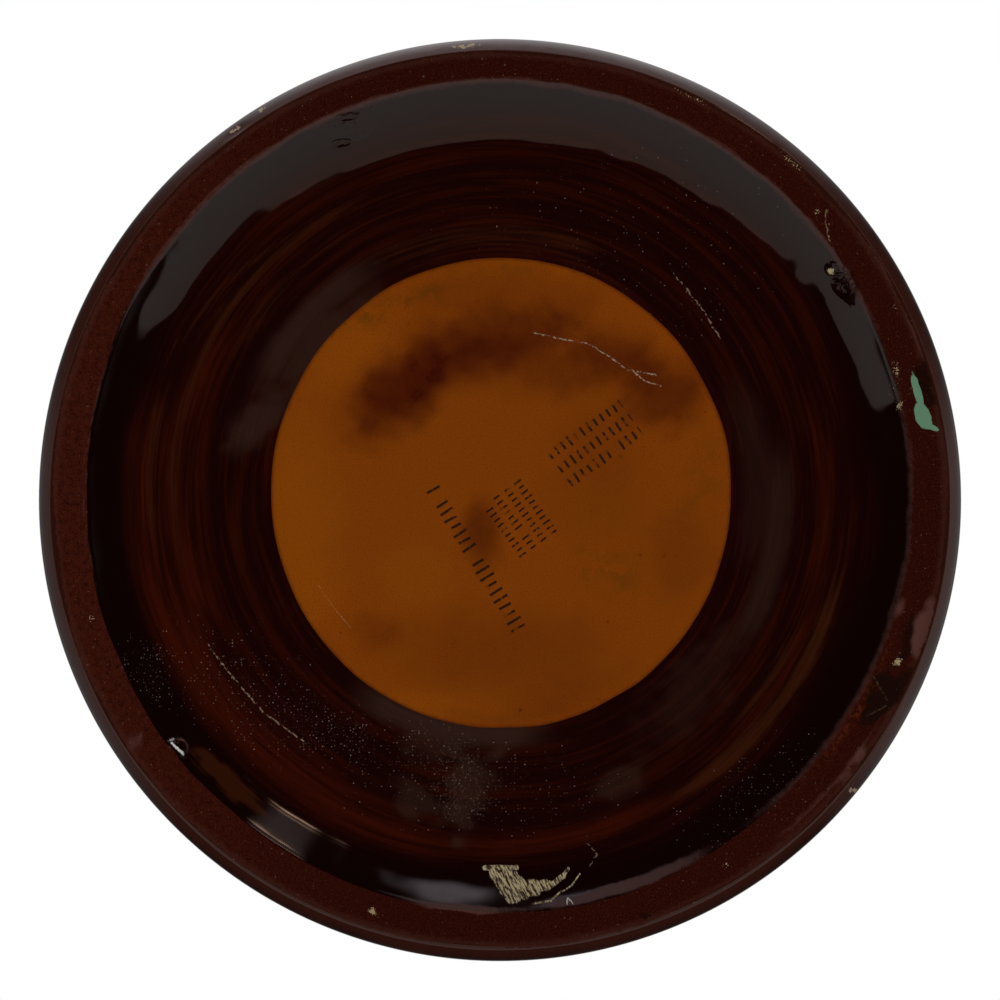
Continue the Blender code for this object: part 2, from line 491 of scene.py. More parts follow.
FOOT_WASHES = {
    Layer.BURNT: (
        Wash(405, 385, 100, 50, -40, 0.9),
        Wash(424, 374, 46, 20, -42, 0.5, 0.2),
        Wash(500, 333, 118, 44, -4, 0.68),
        Wash(470, 362, 60, 34, -18, 0.5),
        Wash(560, 366, 130, 40, 4, 0.48),
        Wash(662, 392, 56, 52, 0, 0.68),
        Wash(610, 350, 80, 34, 22, 0.5),
        Wash(482, 535, 30, 46, 0, 0.62),
        Wash(372, 628, 40, 24, 30, 0.3),
        Wash(500, 650, 150, 60, 0, 0.28),
        Wash(600, 440, 60, 60, 0, 0.2),
        Wash(680, 552, 50, 60, 20, 0.25),
        Wash(590, 500, 90, 60, 0, 0.12),
        Wash(500, 292, 130, 30, 0, 0.25),
        Wash(570, 690, 80, 26, -16, 0.2),
    ),
    Layer.OLIVE: (
        Wash(385, 308, 46, 10, -30, 0.55, 0.3),
        Wash(425, 292, 34, 8, -18, 0.5, 0.3),
        Wash(612, 572, 40, 36, 0, 0.4, 0.4),
        Wash(706, 470, 26, 50, 8, 0.28, 0.4),
        Wash(510, 268, 110, 9, 0, 0.3),
    ),
    Layer.YELLOW: (
        Wash(298, 525, 60, 150, 0, 0.75),
        Wash(345, 350, 66, 46, -40, 0.6),
        Wash(415, 575, 60, 46, 0, 0.4),
        Wash(440, 706, 100, 18, 8, 0.7),
        Wash(540, 262, 60, 8, 4, 0.4),
    ),
    Layer.FILM: (
        Wash(318, 350, 105, 34, -52, 0.75, 0.2),
        Wash(252, 420, 50, 26, -62, 0.85, 0.15),
        Wash(690, 690, 90, 40, -45, 0.35, 0.3),
        Wash(466, 782, 27, 58, 0, 0.7, 0.45),
        Wash(425, 805, 52, 20, 24, 0.6, 0.5),
        Wash(440, 742, 56, 24, 10, 0.5, 0.45),
        Wash(620, 782, 34, 20, -20, 0.55, 0.3),
    ),
    Layer.WARM: (
        Wash(560, 128, 260, 26, 3, 0.22),
    ),
    Layer.TAN: (
        Wash(226, 779, 62, 17, 41, 1.0, 0.15),
    ),
    Layer.DUST: (
        Wash(148, 668, 42, 38, 0, 0.75),
        Wash(330, 728, 62, 36, 24, 0.6),
        Wash(240, 690, 150, 80, 28, 0.32),
        Wash(420, 750, 90, 46, 0, 0.38),
        Wash(760, 800, 120, 70, -40, 0.28),
        Wash(895, 372, 14, 46, 0, 0.6),
        Wash(620, 250, 260, 160, 0, 0.1),
        Wash(500, 790, 180, 60, 0, 0.25),
    ),
    # Painted highlights: pinkish sheen on glossy spots of the ring and at its edges
    Layer.PAINTED_PINK_HIGHLIGHT: (
        Wash(135, 742, 13, 20, 24, 0.55),
        Wash(924, 632, 17, 46, 12, 1.0, 0.2),
        Wash(900, 606, 7, 17, 20, 0.6),
        Wash(860, 755, 9, 14, 30, 0.6),
        Wash(850, 780, 15, 13, -35, 0.55),
    ),
    Layer.RUN: (
        Wash(892, 688, 26, 54, 24, 1.0, 0.35),
        Wash(905, 640, 13, 34, 16, 0.7, 0.35),
        Wash(925, 385, 14, 44, -12, 0.7, 0.3),
        Wash(818, 816, 20, 12, -40, 0.6, 0.3),
        Wash(645, 915, 10, 6, 0, 0.8),
        Wash(843, 282, 16, 22, -20, 1.0, 0.3),
        Wash(350, 122, 26, 20, 0, 0.75, 0.2),
    ),
    Layer.CHIP: (
        Wash(262, 108, 9, 4, -34, 0.7),
        Wash(235, 128, 11, 5, -38, 0.7),
        Wash(465, 45, 30, 4, -3, 0.6),
        Wash(690, 96, 30, 4, 26, 0.4),
        Wash(790, 160, 34, 4, 42, 0.45),
        Wash(814, 209, 7, 4, 30, 0.75),
        Wash(895, 368, 6, 9, -10, 0.85),
        Wash(899, 404, 6, 8, 0, 0.8),
        Wash(897, 661, 4.5, 11, 16, 1.0, 0.3),
        Wash(830, 270, 5, 5, 30, 1.0),
        Wash(374, 911, 6, 5, 0, 0.95),
        Wash(92, 619, 4, 4, 0, 0.8),
        Wash(725, 862, 4, 16, 12, 0.5),
        Wash(852, 789, 8, 6, -40, 0.8),
        Wash(893, 303, 5, 6, 0, 0.75),
    ),
}
FOOT_SWEEPS = {
    Layer.BURNT: (
        Sweep(226, 14, 62, 112, 0.28),
    ),
    Layer.FILM: (
        Sweep(243, 19, 74, 130, 1.0),
        Sweep(262, 18, 200, 246, 0.85),
        Sweep(285, 18, -14, 38, 0.6),
        Sweep(262, 24, 330, 380, 0.35),
    ),
    Layer.WARM: (
        Sweep(352, 34, 92, 200, 0.75),
        Sweep(318, 24, 148, 216, 0.65),
        Sweep(330, 16, 338, 384, 0.45),
        Sweep(350, 18, 58, 102, 0.6),
        Sweep(337, 7, 16, 62, 0.65),
        Sweep(421, 5, 14, 48, 0.8),
    ),
    Layer.TAN: (
        Sweep(353, 14, 8, 66, 0.72),
        Sweep(331, 10, 18, 52, 0.5),
        Sweep(360, 6, 196, 236, 0.5, -30),
        Sweep(346, 8, 198, 226, 0.3, -22),
        Sweep(350, 12, 165, 205, 0.45),
        Sweep(326, 9, 160, 250, 0.5),
        Sweep(300, 10, 198, 250, 0.35),
        Sweep(262, 22, 235, 300, 0.4),
    ),
    # Painted highlights: pinkish bands along the ring's inner and outer edges
    Layer.PAINTED_PINK_HIGHLIGHT: (
        Sweep(413, 3, 160, 208, 0.5),
        Sweep(413, 6, 200, 345, 0.55),
        Sweep(414, 9, 54, 90, 0.85),
        Sweep(417, 6, 82, 108, 0.95),
        Sweep(414, 7, -26, 60, 0.42),
        Sweep(448, 6, -68, -8, 0.6),
        Sweep(444, 6, 22, 60, 0.5),
    ),
}


# Relief on the mesh


@dataclass(frozen=True)
class Bump:
    """A small mound or dent in the glaze, by its pixels in the photograph."""

    x: float
    y: float
    long: float
    wide: float
    turn: float
    height: float
    crumble: float = 0.0

    def lift(self, px: np.ndarray, py: np.ndarray, rough: np.ndarray) -> np.ndarray:
        """How far each place is raised, in metres.

        Args:
            px: Pixels from the left of each place.
            py: Pixels from the top.
            rough: An uneven field that breaks up the form.

        Returns:
            The lift of each place.
        """
        turn = math.radians(self.turn)
        dx = px - self.x
        dy = py - self.y
        along = (dx * math.cos(turn) + dy * math.sin(turn)) / self.long
        across = (dy * math.cos(turn) - dx * math.sin(turn)) / self.wide
        reach = along * along + across * across
        dome = np.sqrt(np.clip(1 - reach, 0.0, 1.0)) * (1 - soft_step(reach, 0.55, 1.0) * 0.6)
        return self.height * dome * (1 + self.crumble * rough)


FOOT_BUMPS = (
    Bump(176.8, 746.8, 11.5, 10.5, 35, 0.6 * MM, 0.05),
    Bump(214, 773, 34, 15, 41, 0.07 * MM),
    Bump(350, 121, 25, 18, 0, 0.12 * MM, 0.2),
    Bump(346, 115, 13, 4, -6, -0.15 * MM, 0.3),
    Bump(340, 141, 11, 4, -6, -0.14 * MM, 0.4),
    Bump(843, 280, 13, 19, -22, -0.4 * MM, 0.9),
    Bump(833, 268, 9, 8, 0, 0.24 * MM, 0.6),
    Bump(853, 296, 8, 9, 0, 0.22 * MM, 0.6),
    Bump(897, 660, 8, 15, 20, -0.14 * MM, 0.5),
    Bump(235, 130, 12, 5, -38, -0.1 * MM, 0.5),
    Bump(790, 160, 22, 4, 42, -0.08 * MM, 0.5),
    Bump(645, 915, 11, 7, 0, -0.12 * MM, 0.4),
    Bump(374, 911, 6, 5, 0, 0.12 * MM),
)
FINE_SPOTS = ((182, 750, 24), (350, 124, 28), (843, 280, 26))
FINEST_SPOTS = ((176.8, 746.8, 14), (843, 280, 22), (346, 128, 22))


# Pale scratches and hairs


@dataclass(frozen=True)
class Scratch:
    """A thin mark through a few places, by pixels in the photograph."""

    points: tuple[Point, ...]
    width: float = 0.1
    strength: float = 0.9

    def segments(self, height: float) -> list[tuple[Point, Point]]:
        """Its straight parts, in metres, on a surface at a height."""
        places = [seen(px, py, height) for px, py in self.points]
        return list(zip(places, places[1:]))


DISC_SCRATCHES = (
    Scratch(((532, 332), (566, 339), (587, 342), (609, 356), (627, 369), (655, 374)), 0.1, 0.55),
    Scratch(((630, 369), (646, 381), (660, 385)), 0.1, 0.6),
    Scratch(((318, 584), (332, 606), (349, 626)), 0.06, 0.25),
)
SLIP_SCRATCHES = (
    Scratch(((207, 643), (228, 672), (262, 711), (305, 742)), 0.09, 0.75),
    Scratch(((673, 273), (692, 296), (707, 316), (719, 337)), 0.1, 0.7),
    Scratch(((586, 842), (596, 853), (589, 864)), 0.07, 0.5),
)
RING_SCRATCHES = (
    Scratch(((826, 208), (824, 222), (829, 240)), 0.1, 0.5),
    Scratch(((873, 676), (881, 690), (889, 703)), 0.1, 0.1),
    Scratch(((866, 715), (885, 705)), 0.1, 0.1),
)
BEIGE_STROKES = (
    ((484, 868), (515, 868), 0.28),
    ((494, 874), (510, 898), 0.6),
    ((504, 876), (514, 896), 0.8),
    ((512, 878), (522, 892), 0.8),
    ((520, 890), (534, 888), 0.82),
    ((532, 888), (546, 885), 0.55),
    ((551, 885), (562, 876), 0.3),
    ((562, 876), (567, 869), 0.2),
    ((562, 891), (571, 885), 0.08),
    ((571, 885), (579, 874), 0.08),
    ((560, 891), (550, 900), 0.1),
    ((550, 900), (532, 903), 0.09),
)
BEAD_GLINTS = (
    Scratch(((171, 742), (176, 747), (182, 753)), 0.17, 0.9),
    Scratch(((169, 739), (173, 738)), 0.14, 0.7),
    Scratch(((168, 751), (173, 753)), 0.16, 0.6),
    Scratch(((565, 903), (567, 897), (572, 903)), 0.09, 0.5),
)


class Zone(Enum):
    """A stretch of the flask's surface. The number is its material slot."""

    OUTSIDE = 0
    DISC = 1
    SLIP = 2
    RING = 3
    INSIDE = 4
    HANDLE = 5


UNDERSIDE = (Zone.DISC.value, Zone.SLIP.value, Zone.RING.value)

# Each box of the map is its left, its bottom, its width and its height
FOOT_BOX = (0.005, 0.005, 0.62, 0.62)
WALL_BOX = (0.005, 0.635, 0.99, 0.36)
INSIDE_BOX = (0.64, 0.01, 0.35, 0.29)
STRAP_BOX = (0.64, 0.31, 0.35, 0.31)


# Finishes


@dataclass(frozen=True)
class FootGround:
    """What the three finishes under the foot share."""

    bench: Bench
    flat: bpy.types.NodeSocket
    x: Tone
    y: Tone
    reach: Tone
    slow: Tone
    fine: Tone
    grit: Tone

    @classmethod
    def on(cls, bench: Bench) -> "FootGround":
        """Adds the shared coordinates and noises.

        Args:
            bench: Adds the nodes.

        Returns:
            The shared parts.
        """
        coordinates = bench.node("ShaderNodeTexCoord").outputs["Object"]
        parts = bench.node("ShaderNodeSeparateXYZ", {}, {0: bench.scaled(coordinates, 1 / MM)})
        x = Tone(bench, parts.outputs[0])
        y = Tone(bench, parts.outputs[1])
        flat = bench.joined(x, y)
        slow = bench.noise(flat, 0.11, 1.0) - 0.5
        fine = bench.noise(flat, 1.3, 2.0, 0.6) - 0.5
        grit = bench.noise(flat, 5.5, 2.0, 0.6)
        return cls(bench, flat, x, y, bench.layer("reach"), slow, fine, grit)

    def scratches(self, marks: tuple[Scratch, ...], height: float, whole: bool = False) -> Tone:
        """Pale scratches and hair marks.

        Args:
            marks: The scratches.
            height: The surface's height, in metres.
            whole: Whether they stay whole, or break up here and there.

        Returns:
            How strong they are.
        """
        bench = self.bench
        sideways = bench.joined(self.fine * 0.5, (self.grit - 0.5) * 0.25)
        wandering = bench.vector("ADD", self.flat, sideways)
        found = None
        for mark in marks:
            for start, end in mark.segments(height):
                gap = bench.near_line(wandering, start, end)
                line = bench.fall(gap, mark.width * 0.35, mark.width) * mark.strength
                found = line if found is None else bench.math("MAXIMUM", found, line)
        if whole:
            return found
        return found * bench.rise(bench.noise(self.flat, 2.4, 2.0, 0.7), 0.4, 0.6)

    def grains(self, amount: Tone, scale: float = 2.7) -> tuple[Tone, Tone]:
        """Fine pale dust.

        Args:
            amount: How dense it lies, 0 to 1.
            scale: Cells to a millimetre.

        Returns:
            Where the grains are, and how light each one is.
        """
        bench = self.bench
        inputs = {"Vector": self.flat, "Scale": scale}
        cells = bench.node("ShaderNodeTexVoronoi", {"voronoi_dimensions": "2D"}, inputs)
        parts = bench.node("ShaderNodeSeparateColor", {}, {0: cells.outputs["Color"]})
        size = Tone(bench, parts.outputs[0]) ** 2.0 * 0.2 + 0.06
        grain = bench.fall(Tone(bench, cells.outputs["Distance"]), size * 0.5, size)
        chance = bench.rise(amount - Tone(bench, parts.outputs[1]) * 0.9, 0.0, 0.06)
        return grain * chance, Tone(bench, parts.outputs[2])

    def oval(self, place: Point, long: float, wide: float, turn: float) -> Tone:
        """Distance from an oval's middle, 1 at its rim.

        Args:
            place: The oval's middle, as a pixel.
            long: Half its length in millimetres.
            wide: Half its width.
            turn: Degrees that it is turned.

        Returns:
            The distance.
        """
        x, y = seen(*place)
        settings = {"vector_type": "TEXTURE"}
        inputs = {
            "Vector": self.flat,
            "Location": (x / MM, y / MM, 0.0),
            "Rotation": (0.0, 0.0, math.radians(turn)),
            "Scale": (long, wide, 1.0),
        }
        return self.bench.measure("LENGTH", self.bench.node("ShaderNodeMapping", settings, inputs).outputs[0])

    def dress(self, shader: bpy.types.Node, colour: object, rough: Tone, height: Tone, depth: float) -> None:
        """Feeds the shader.

        Args:
            shader: The Principled shader.
            colour: The base colour.
            rough: The roughness.
            height: The bump's height, 0 to 1.
            depth: How deep the bump is, in metres.
        """
        bump = self.bench.node("ShaderNodeBump", {}, {"Strength": 0.7, "Distance": depth, "Height": height})
        self.bench.feed(shader.inputs["Base Color"], colour)
        self.bench.feed(shader.inputs["Roughness"], rough)
        self.bench.feed(shader.inputs["Normal"], bump.outputs["Normal"])


@dataclass(frozen=True)
class StrokeBlock:
    """Rows of short ink strokes that spell nothing, by pixels in the photograph."""

    start: Point
    end: Point
    rows: int
    row_gap: float
    tall: float
    pitch: float
    seed: int

    def ink(self, bench: Bench, flat: bpy.types.NodeSocket, height: float) -> Tone:
        """Where the ink is.

        Args:
            bench: Adds the nodes.
            flat: Coordinates in millimetres with no height.
            height: The surface's height, in metres.

        Returns:
            How much ink there is.
        """
        a = Vector((*seen(*self.start, height), 0.0)) / MM
        along = Vector((*seen(*self.end, height), 0.0)) / MM - a
        length = along.length
        along.normalize()
        across = Vector((-along.y, along.x, 0.0))
        away = bench.vector("SUBTRACT", flat, tuple(a))
        u = bench.measure("DOT_PRODUCT", away, tuple(along)) / self.pitch
        v = bench.measure("DOT_PRODUCT", away, tuple(across)) / self.row_gap + self.rows / 2
        column = bench.math("FLOOR", u)
        row = bench.math("FLOOR", v)
        noise = {"noise_dimensions": "1D"}
        chance = bench.node("ShaderNodeTexWhiteNoise", noise, {"W": column + row * 41.0 + self.seed + 0.5})
        parts = bench.node("ShaderNodeSeparateColor", {}, {0: chance.outputs["Color"]})
        lean = Tone(bench, parts.outputs[0]) - 0.5
        half = (Tone(bench, parts.outputs[1]) * 0.3 + 0.7) * (self.tall / self.row_gap / 2)
        shown = bench.rise(Tone(bench, parts.outputs[2]), 0.07, 0.1)
        up = v - row - 0.5
        body = bench.fall(abs(u - column - 0.5 + lean * up * 0.25), 0.12, 0.2)
        body = body * bench.fall(abs(up), half - 0.04, half + 0.03)
        inside = bench.rise(u, 0.0, 0.05) * bench.fall(u, length / self.pitch - 0.05, length / self.pitch)
        inside = inside * bench.rise(v, 0.0, 0.02) * bench.fall(v, self.rows - 0.02, float(self.rows))
        return body * shown * inside


@dataclass(frozen=True)
class DiscFinish:
    """The flat disc: clear amber glaze, burnt in places, with rows of ink strokes."""

    amber: Colour = (0.158, 0.0330, 0.0003, 1.0)
    yellow: Colour = (0.190, 0.0440, 0.0003, 1.0)
    burnt: Colour = (0.034, 0.0028, 0.0003, 1.0)
    olive: Colour = (0.062, 0.0215, 0.0006, 1.0)
    ink: Colour = (0.009, 0.0045, 0.003, 1.0)
    pale: Colour = (0.30, 0.22, 0.14, 1.0)
    radius: float = 23.4
    height: float = 4.8 * MM
    gloss: float = 0.075
    print_blocks: tuple[StrokeBlock, ...] = (
        StrokeBlock((430, 485), (518, 628), 1, 1.9, 1.7, 0.86, 11),
        StrokeBlock((499, 490), (540, 546), 4, 1.3, 0.9, 0.62, 23),
        StrokeBlock((556, 470), (630, 416), 3, 1.7, 1.2, 0.8, 57),
    )

    def build(self) -> bpy.types.Material:
        """Makes the material.

        Returns:
            The material.
        """
        material, bench, shader = new_material("amber_disc")
        ground = FootGround.on(bench)
        cloud = bench.noise(ground.flat, 0.55, 4.0, 0.65)
        colour = bench.mix(bench.layer(Layer.YELLOW.value), self.amber, self.yellow)
        burnt = bench.layer(Layer.BURNT.value)
        burnt = burnt + (cloud - 0.5) * (burnt * 0.3 + 0.1)
        colour = bench.mix(bench.tone("ShaderNodeClamp", {}, {0: burnt}), colour, self.burnt)
        colour = bench.mix(bench.layer(Layer.OLIVE.value) * bench.rise(cloud, 0.38, 0.56), colour, self.olive)
        colour = bench.mix(bench.rise(ground.grit, 0.54, 0.7) * 0.32, colour, self.burnt)
        spots, depth = ground.grains(bench.rise(cloud, 0.2, 0.9) * 0.1, 0.9)
        colour = bench.mix(spots * (depth * 0.5 + 0.3), colour, self.burnt)
        border = bench.rise(ground.reach + ground.fine * 0.25, self.radius - 0.4, self.radius)
        colour = bench.mix(border * 0.6, colour, self.burnt)
        ink = None
        for block in self.print_blocks:
            strokes = block.ink(bench, ground.flat, self.height)
            ink = strokes if ink is None else bench.math("MAXIMUM", ink, strokes)
        worn = bench.rise(bench.noise(ground.flat, 1.1, 2.0, 0.6), 0.26, 0.46)
        colour = bench.mix(ink * worn * 0.92, colour, self.ink)
        scratched = ground.scratches(DISC_SCRATCHES, self.height)
        colour = bench.mix(scratched, colour, self.pale)
        rough = self.gloss + scratched * 0.4 + bench.layer(Layer.BURNT.value) * 0.02
        ground.dress(shader, colour, rough, bench.noise(ground.flat, 0.3, 0.0), 0.012 * MM)
        return material


@dataclass(frozen=True)
class SlipFinish:
    """Dark slip brushed round the disc, and the black cove under its thick glaze."""

    middle: Point = (-0.25, -0.65)
    cove_radius: float = 37.4
    height: float = 4.0 * MM
    slip: Colour = (0.0055, 0.0005, 0.0002, 1.0)
    streak: Colour = (0.0150, 0.0016, 0.0004, 1.0)
    warm: Colour = (0.0300, 0.0032, 0.0006, 1.0)
    tan: Colour = (0.0240, 0.0054, 0.0015, 1.0)
    film: Colour = (0.0225, 0.0092, 0.0064, 1.0)
    cove: Colour = (0.0036, 0.0004, 0.0003, 1.0)
    dust: Colour = (0.15, 0.115, 0.095, 1.0)
    pale: Colour = (0.21, 0.15, 0.10, 1.0)
    beige: Colour = (0.29, 0.235, 0.13, 1.0)
    clay: Colour = (0.012, 0.0035, 0.0015, 1.0)
    # Colour of the painted highlights along the ring's inner edge and on the bead's rim
    edge: Colour = (0.041, 0.0180, 0.0150, 1.0)
    glint: Colour = (0.50, 0.49, 0.46, 1.0)
    gloss: float = 0.07

    def build(self) -> bpy.types.Material:
        """Makes the material.

        Returns:
            The material.
        """
        material, bench, shader = new_material("brushed_slip")
        ground = FootGround.on(bench)
        reach = ground.reach
        out = bench.measure("LENGTH", bench.vector("SUBTRACT", ground.flat, (*self.middle, 0.0)))
        way_x = (ground.x - self.middle[0]) / out
        way_y = (ground.y - self.middle[1]) / out
        brushed = bench.joined(way_x * 1.0, way_y * 1.0, reach * 0.5)
        bands = bench.noise(brushed, 1.6, 3.0, 0.62, True)
        hairs = bench.noise(bench.joined(way_x * 1.8, way_y * 1.8, reach * 2.1), 1.6, 2.0, 0.6, True)
        streak = bench.rise(bands * 0.65 + hairs * 0.35, 0.44, 0.66)
        colour = bench.mix(streak, self.slip, self.streak)
        warm_hairs = bench.rise(bands * 0.6 + hairs * 0.4, 0.3, 0.62)
        colour = bench.mix(bench.layer(Layer.WARM.value) * warm_hairs, colour, self.warm)
        tan = bench.rise(bench.layer(Layer.TAN.value) + (hairs - 0.5) * 1.0, 0.15, 0.85)
        colour = bench.mix(tan, colour, self.tan)
        film = bench.layer(Layer.FILM.value)
        colour = bench.mix(film * (hairs * 0.5 + 0.6), colour, self.film)
        in_cove = bench.rise(reach + ground.slow * 1.6, self.cove_radius - 1.8, self.cove_radius + 1.4)
        kept = bench.math("MAXIMUM", bench.layer(Layer.WARM.value) * 0.7, tan)
        colour = bench.mix(in_cove * (1 - kept), colour, self.cove)
        speck = bench.rise(ground.grit, 0.6, 0.72) * 0.25
        colour = bench.mix(speck, colour, self.streak)

        smudge = ground.oval((462, 786), 3.6, 4.8, -10) + ground.fine * 0.9
        veins = bench.fall(abs(ground.fine), 0.0, 0.03) * bench.fall(smudge, 0.6, 1.1)
        veins = veins * bench.rise(ground.grit, 0.46, 0.6)
        colour = bench.mix(veins * 0.24, colour, self.dust)
        grain, light = ground.grains(bench.layer(Layer.DUST.value), 3.2)
        colour = bench.mix(grain * (light * 0.6 + 0.25), colour, self.dust)
        chip = bench.layer(Layer.CHIP.value)
        chipped = bench.rise(chip + (ground.grit - 0.5) * 1.4 + ground.fine * 0.5, 0.55, 0.66)
        colour = bench.mix(chipped, colour, self.beige)
        scratched = ground.scratches(SLIP_SCRATCHES, self.height)
        colour = bench.mix(scratched, colour, self.pale)
        run = bench.rise(bench.layer(Layer.RUN.value) + ground.fine * 0.4, 0.5, 0.8)
        crust = bench.mix(bench.rise(ground.grit, 0.52, 0.66), self.cove, self.clay)
        colour = bench.mix(run, colour, crust)
        bead_reach = ground.oval((176.8, 746.8), 1.12, 1.05, 0)
        bead = bench.fall(bead_reach, 0.95, 1.1)
        colour = bench.mix(bead, colour, self.cove)
        # Painted highlight: a grey arc on the upper right of the glaze bead's rim
        upper_right = bench.rise(ground.x - ground.y, -57.3, -56.0)
        painted_bead_rim_highlight = bench.fall(abs(bead_reach - 0.86), 0.06, 0.16) * upper_right
        colour = bench.mix(painted_bead_rim_highlight * 0.8, colour, self.edge)
        # Painted highlight: a pinkish band where the ring's inner edge rounds off, kept off the bead
        pink = bench.layer(Layer.PAINTED_PINK_HIGHLIGHT.value)
        edge = bench.rise(pink + ground.fine * 0.3, 0.1, 0.75) * (1 - bead)
        colour = bench.mix(edge * 0.9, colour, self.edge)
        beige, scraped = self.beige_marks(bench, ground)
        colour = bench.mix(beige, colour, self.clay)
        colour = bench.mix(scraped, colour, self.beige)

        glints = ground.scratches(BEAD_GLINTS, 0.5 * MM, True)
        colour = bench.mix(glints, colour, self.glint)
        rough = self.gloss + film * 0.05 + grain * 0.3 + beige * 0.35
        rough = rough + run * 0.1 + chipped * 0.4 + edge * 0.35
        height = bench.noise(ground.flat, 0.35, 0.0)
        ground.dress(shader, colour, rough, height, 0.03 * MM)
        return material

    def beige_marks(self, bench: Bench, ground: FootGround) -> tuple[Tone, Tone]:
        """The scraped beige patch at the cove's near edge and its hook.

        Args:
            bench: Adds the nodes.
            ground: The shared coordinates and noises.

        Returns:
            Where the patch is, and where its pale strokes are.
        """
        near = None
        for start, end, width in BEIGE_STROKES:
            gap = bench.near_line(ground.flat, seen(*start), seen(*end)) / width
            near = gap if near is None else bench.math("MINIMUM", near, gap)
        body = bench.fall(near + ground.fine * 0.7, 0.8, 1.05)
        settings = {"Vector": ground.flat, "Scale": (0.2, 1.1, 1.0), "Rotation": (0, 0, math.radians(-29))}
        bars = bench.node("ShaderNodeMapping", {"vector_type": "TEXTURE"}, settings)
        scraped = bench.rise(bench.noise(bars.outputs[0], 1.0, 3.0, 0.75), 0.44, 0.57)
        return body, body * scraped


@dataclass(frozen=True)
class RingFinish:
    """The matt red-brown standing ring, with runs of glaze, dirt and chips."""

    outer: float = 44.9
    ring: Colour = (0.0170, 0.0022, 0.0011, 1.0)
    light: Colour = (0.0360, 0.0062, 0.0030, 1.0)
    dark: Colour = (0.0090, 0.0016, 0.0010, 1.0)
    # Colour of the painted pinkish highlight on the ring's edges and glossy spots
    pink: Colour = (0.062, 0.0235, 0.0190, 1.0)
    run: Colour = (0.0060, 0.0021, 0.0011, 1.0)
    # Colour of the painted sheen on the rounded outer edge of the ring
    edge: Colour = (0.042, 0.0135, 0.0095, 1.0)
    heel: Colour = (0.0180, 0.0042, 0.0024, 1.0)
    chip: Colour = (0.23, 0.165, 0.09, 1.0)
    green: Colour = (0.087, 0.168, 0.104, 1.0)
    rust: Colour = (0.060, 0.0115, 0.0030, 1.0)
    grit_light: Colour = (0.085, 0.055, 0.043, 1.0)
    matt: float = 0.6
    glazed: float = 0.12
    gloss_weight: float = 0.1
    coat_rough: float = 0.07

    def build(self) -> bpy.types.Material:
        """Makes the material.

        Returns:
            The material.
        """
        material, bench, shader = new_material("matt_ring")
        shader.inputs["Specular IOR Level"].default_value = 0.0
        shader.inputs["Coat Roughness"].default_value = self.coat_rough
        ground = FootGround.on(bench)
        tone = bench.noise(ground.flat, 1.6, 4.0, 0.7)
        left = bench.fall(ground.x, -45.0, -12.0) + 0.12
        colour = bench.mix(left * 0.85 * bench.rise(tone, 0.25, 0.6), self.ring, self.light)
        colour = bench.mix(bench.rise(ground.grit, 0.53, 0.68) * 0.6, colour, self.light)
        colour = bench.mix(bench.fall(ground.grit, 0.3, 0.47) * 0.75, colour, self.dark)
        grain, light = ground.grains(bench.rise(tone, 0.3, 0.8) * 0.2 + bench.layer(Layer.DUST.value), 1.7)
        colour = bench.mix(grain * (light * 0.5 + 0.15), colour, self.grit_light)
        rust = bench.layer(Layer.WARM.value) * bench.rise(tone, 0.46, 0.62)
        colour = bench.mix(rust * 0.8, colour, self.rust)
        run = bench.layer(Layer.RUN.value)
        glazed = bench.rise(run + ground.fine * 0.5, 0.3, 0.75)
        colour = bench.mix(glazed * 0.9, colour, self.run)
        # Painted highlight: pinkish sheen on the ring's edges and glossy spots
        pink = bench.layer(Layer.PAINTED_PINK_HIGHLIGHT.value)
        colour = bench.mix(bench.rise(pink + ground.fine * 0.25, 0.25, 0.8), colour, self.pink)
        # Painted sheen: a soft pinkish band on the rounding of the ring's outer edge, left off the glaze runs
        painted_edge_sheen = bench.rise(ground.reach + ground.fine * 0.6, self.outer - 1.0, self.outer - 0.3)
        colour = bench.mix(painted_edge_sheen * 0.4 * (1 - glazed), colour, self.edge)
        uneven_reach = ground.reach + ground.slow * 0.9 + ground.fine * 0.5
        lap = bench.rise(uneven_reach, self.outer - 0.35, self.outer - 0.1)
        colour = bench.mix(lap, colour, self.heel)
        chip = bench.layer(Layer.CHIP.value)
        chipped = bench.rise(chip + (ground.grit - 0.5) * 1.8 + ground.fine * 0.7, 0.55, 0.66)
        colour = bench.mix(chipped, colour, self.chip)
        scratched = ground.scratches(RING_SCRATCHES, 0.0)
        colour = bench.mix(scratched, colour, self.chip)
        stem = ground.oval((916.5, 391), 0.42, 2.1, -16)
        drop = ground.oval((922.0, 415), 0.82, 1.55, -24)
        tail = ground.oval((930.5, 426), 0.28, 0.85, -64)
        green = bench.math("MINIMUM", bench.math("MINIMUM", stem, drop), tail) + ground.fine * 0.35
        painted = bench.fall(green, 0.88, 0.98)
        colour = bench.mix(painted, colour, self.green)
        rough = self.matt - lap * 0.2
        weight = bench.math("MAXIMUM", glazed * 0.75, lap)
        weight = bench.math("MAXIMUM", weight * (1 - chipped) * (1 - painted), self.gloss_weight)
        bench.feed(shader.inputs["Coat Weight"], weight)
        ground.dress(shader, colour, rough, ground.grit, 0.035 * MM)
        return material


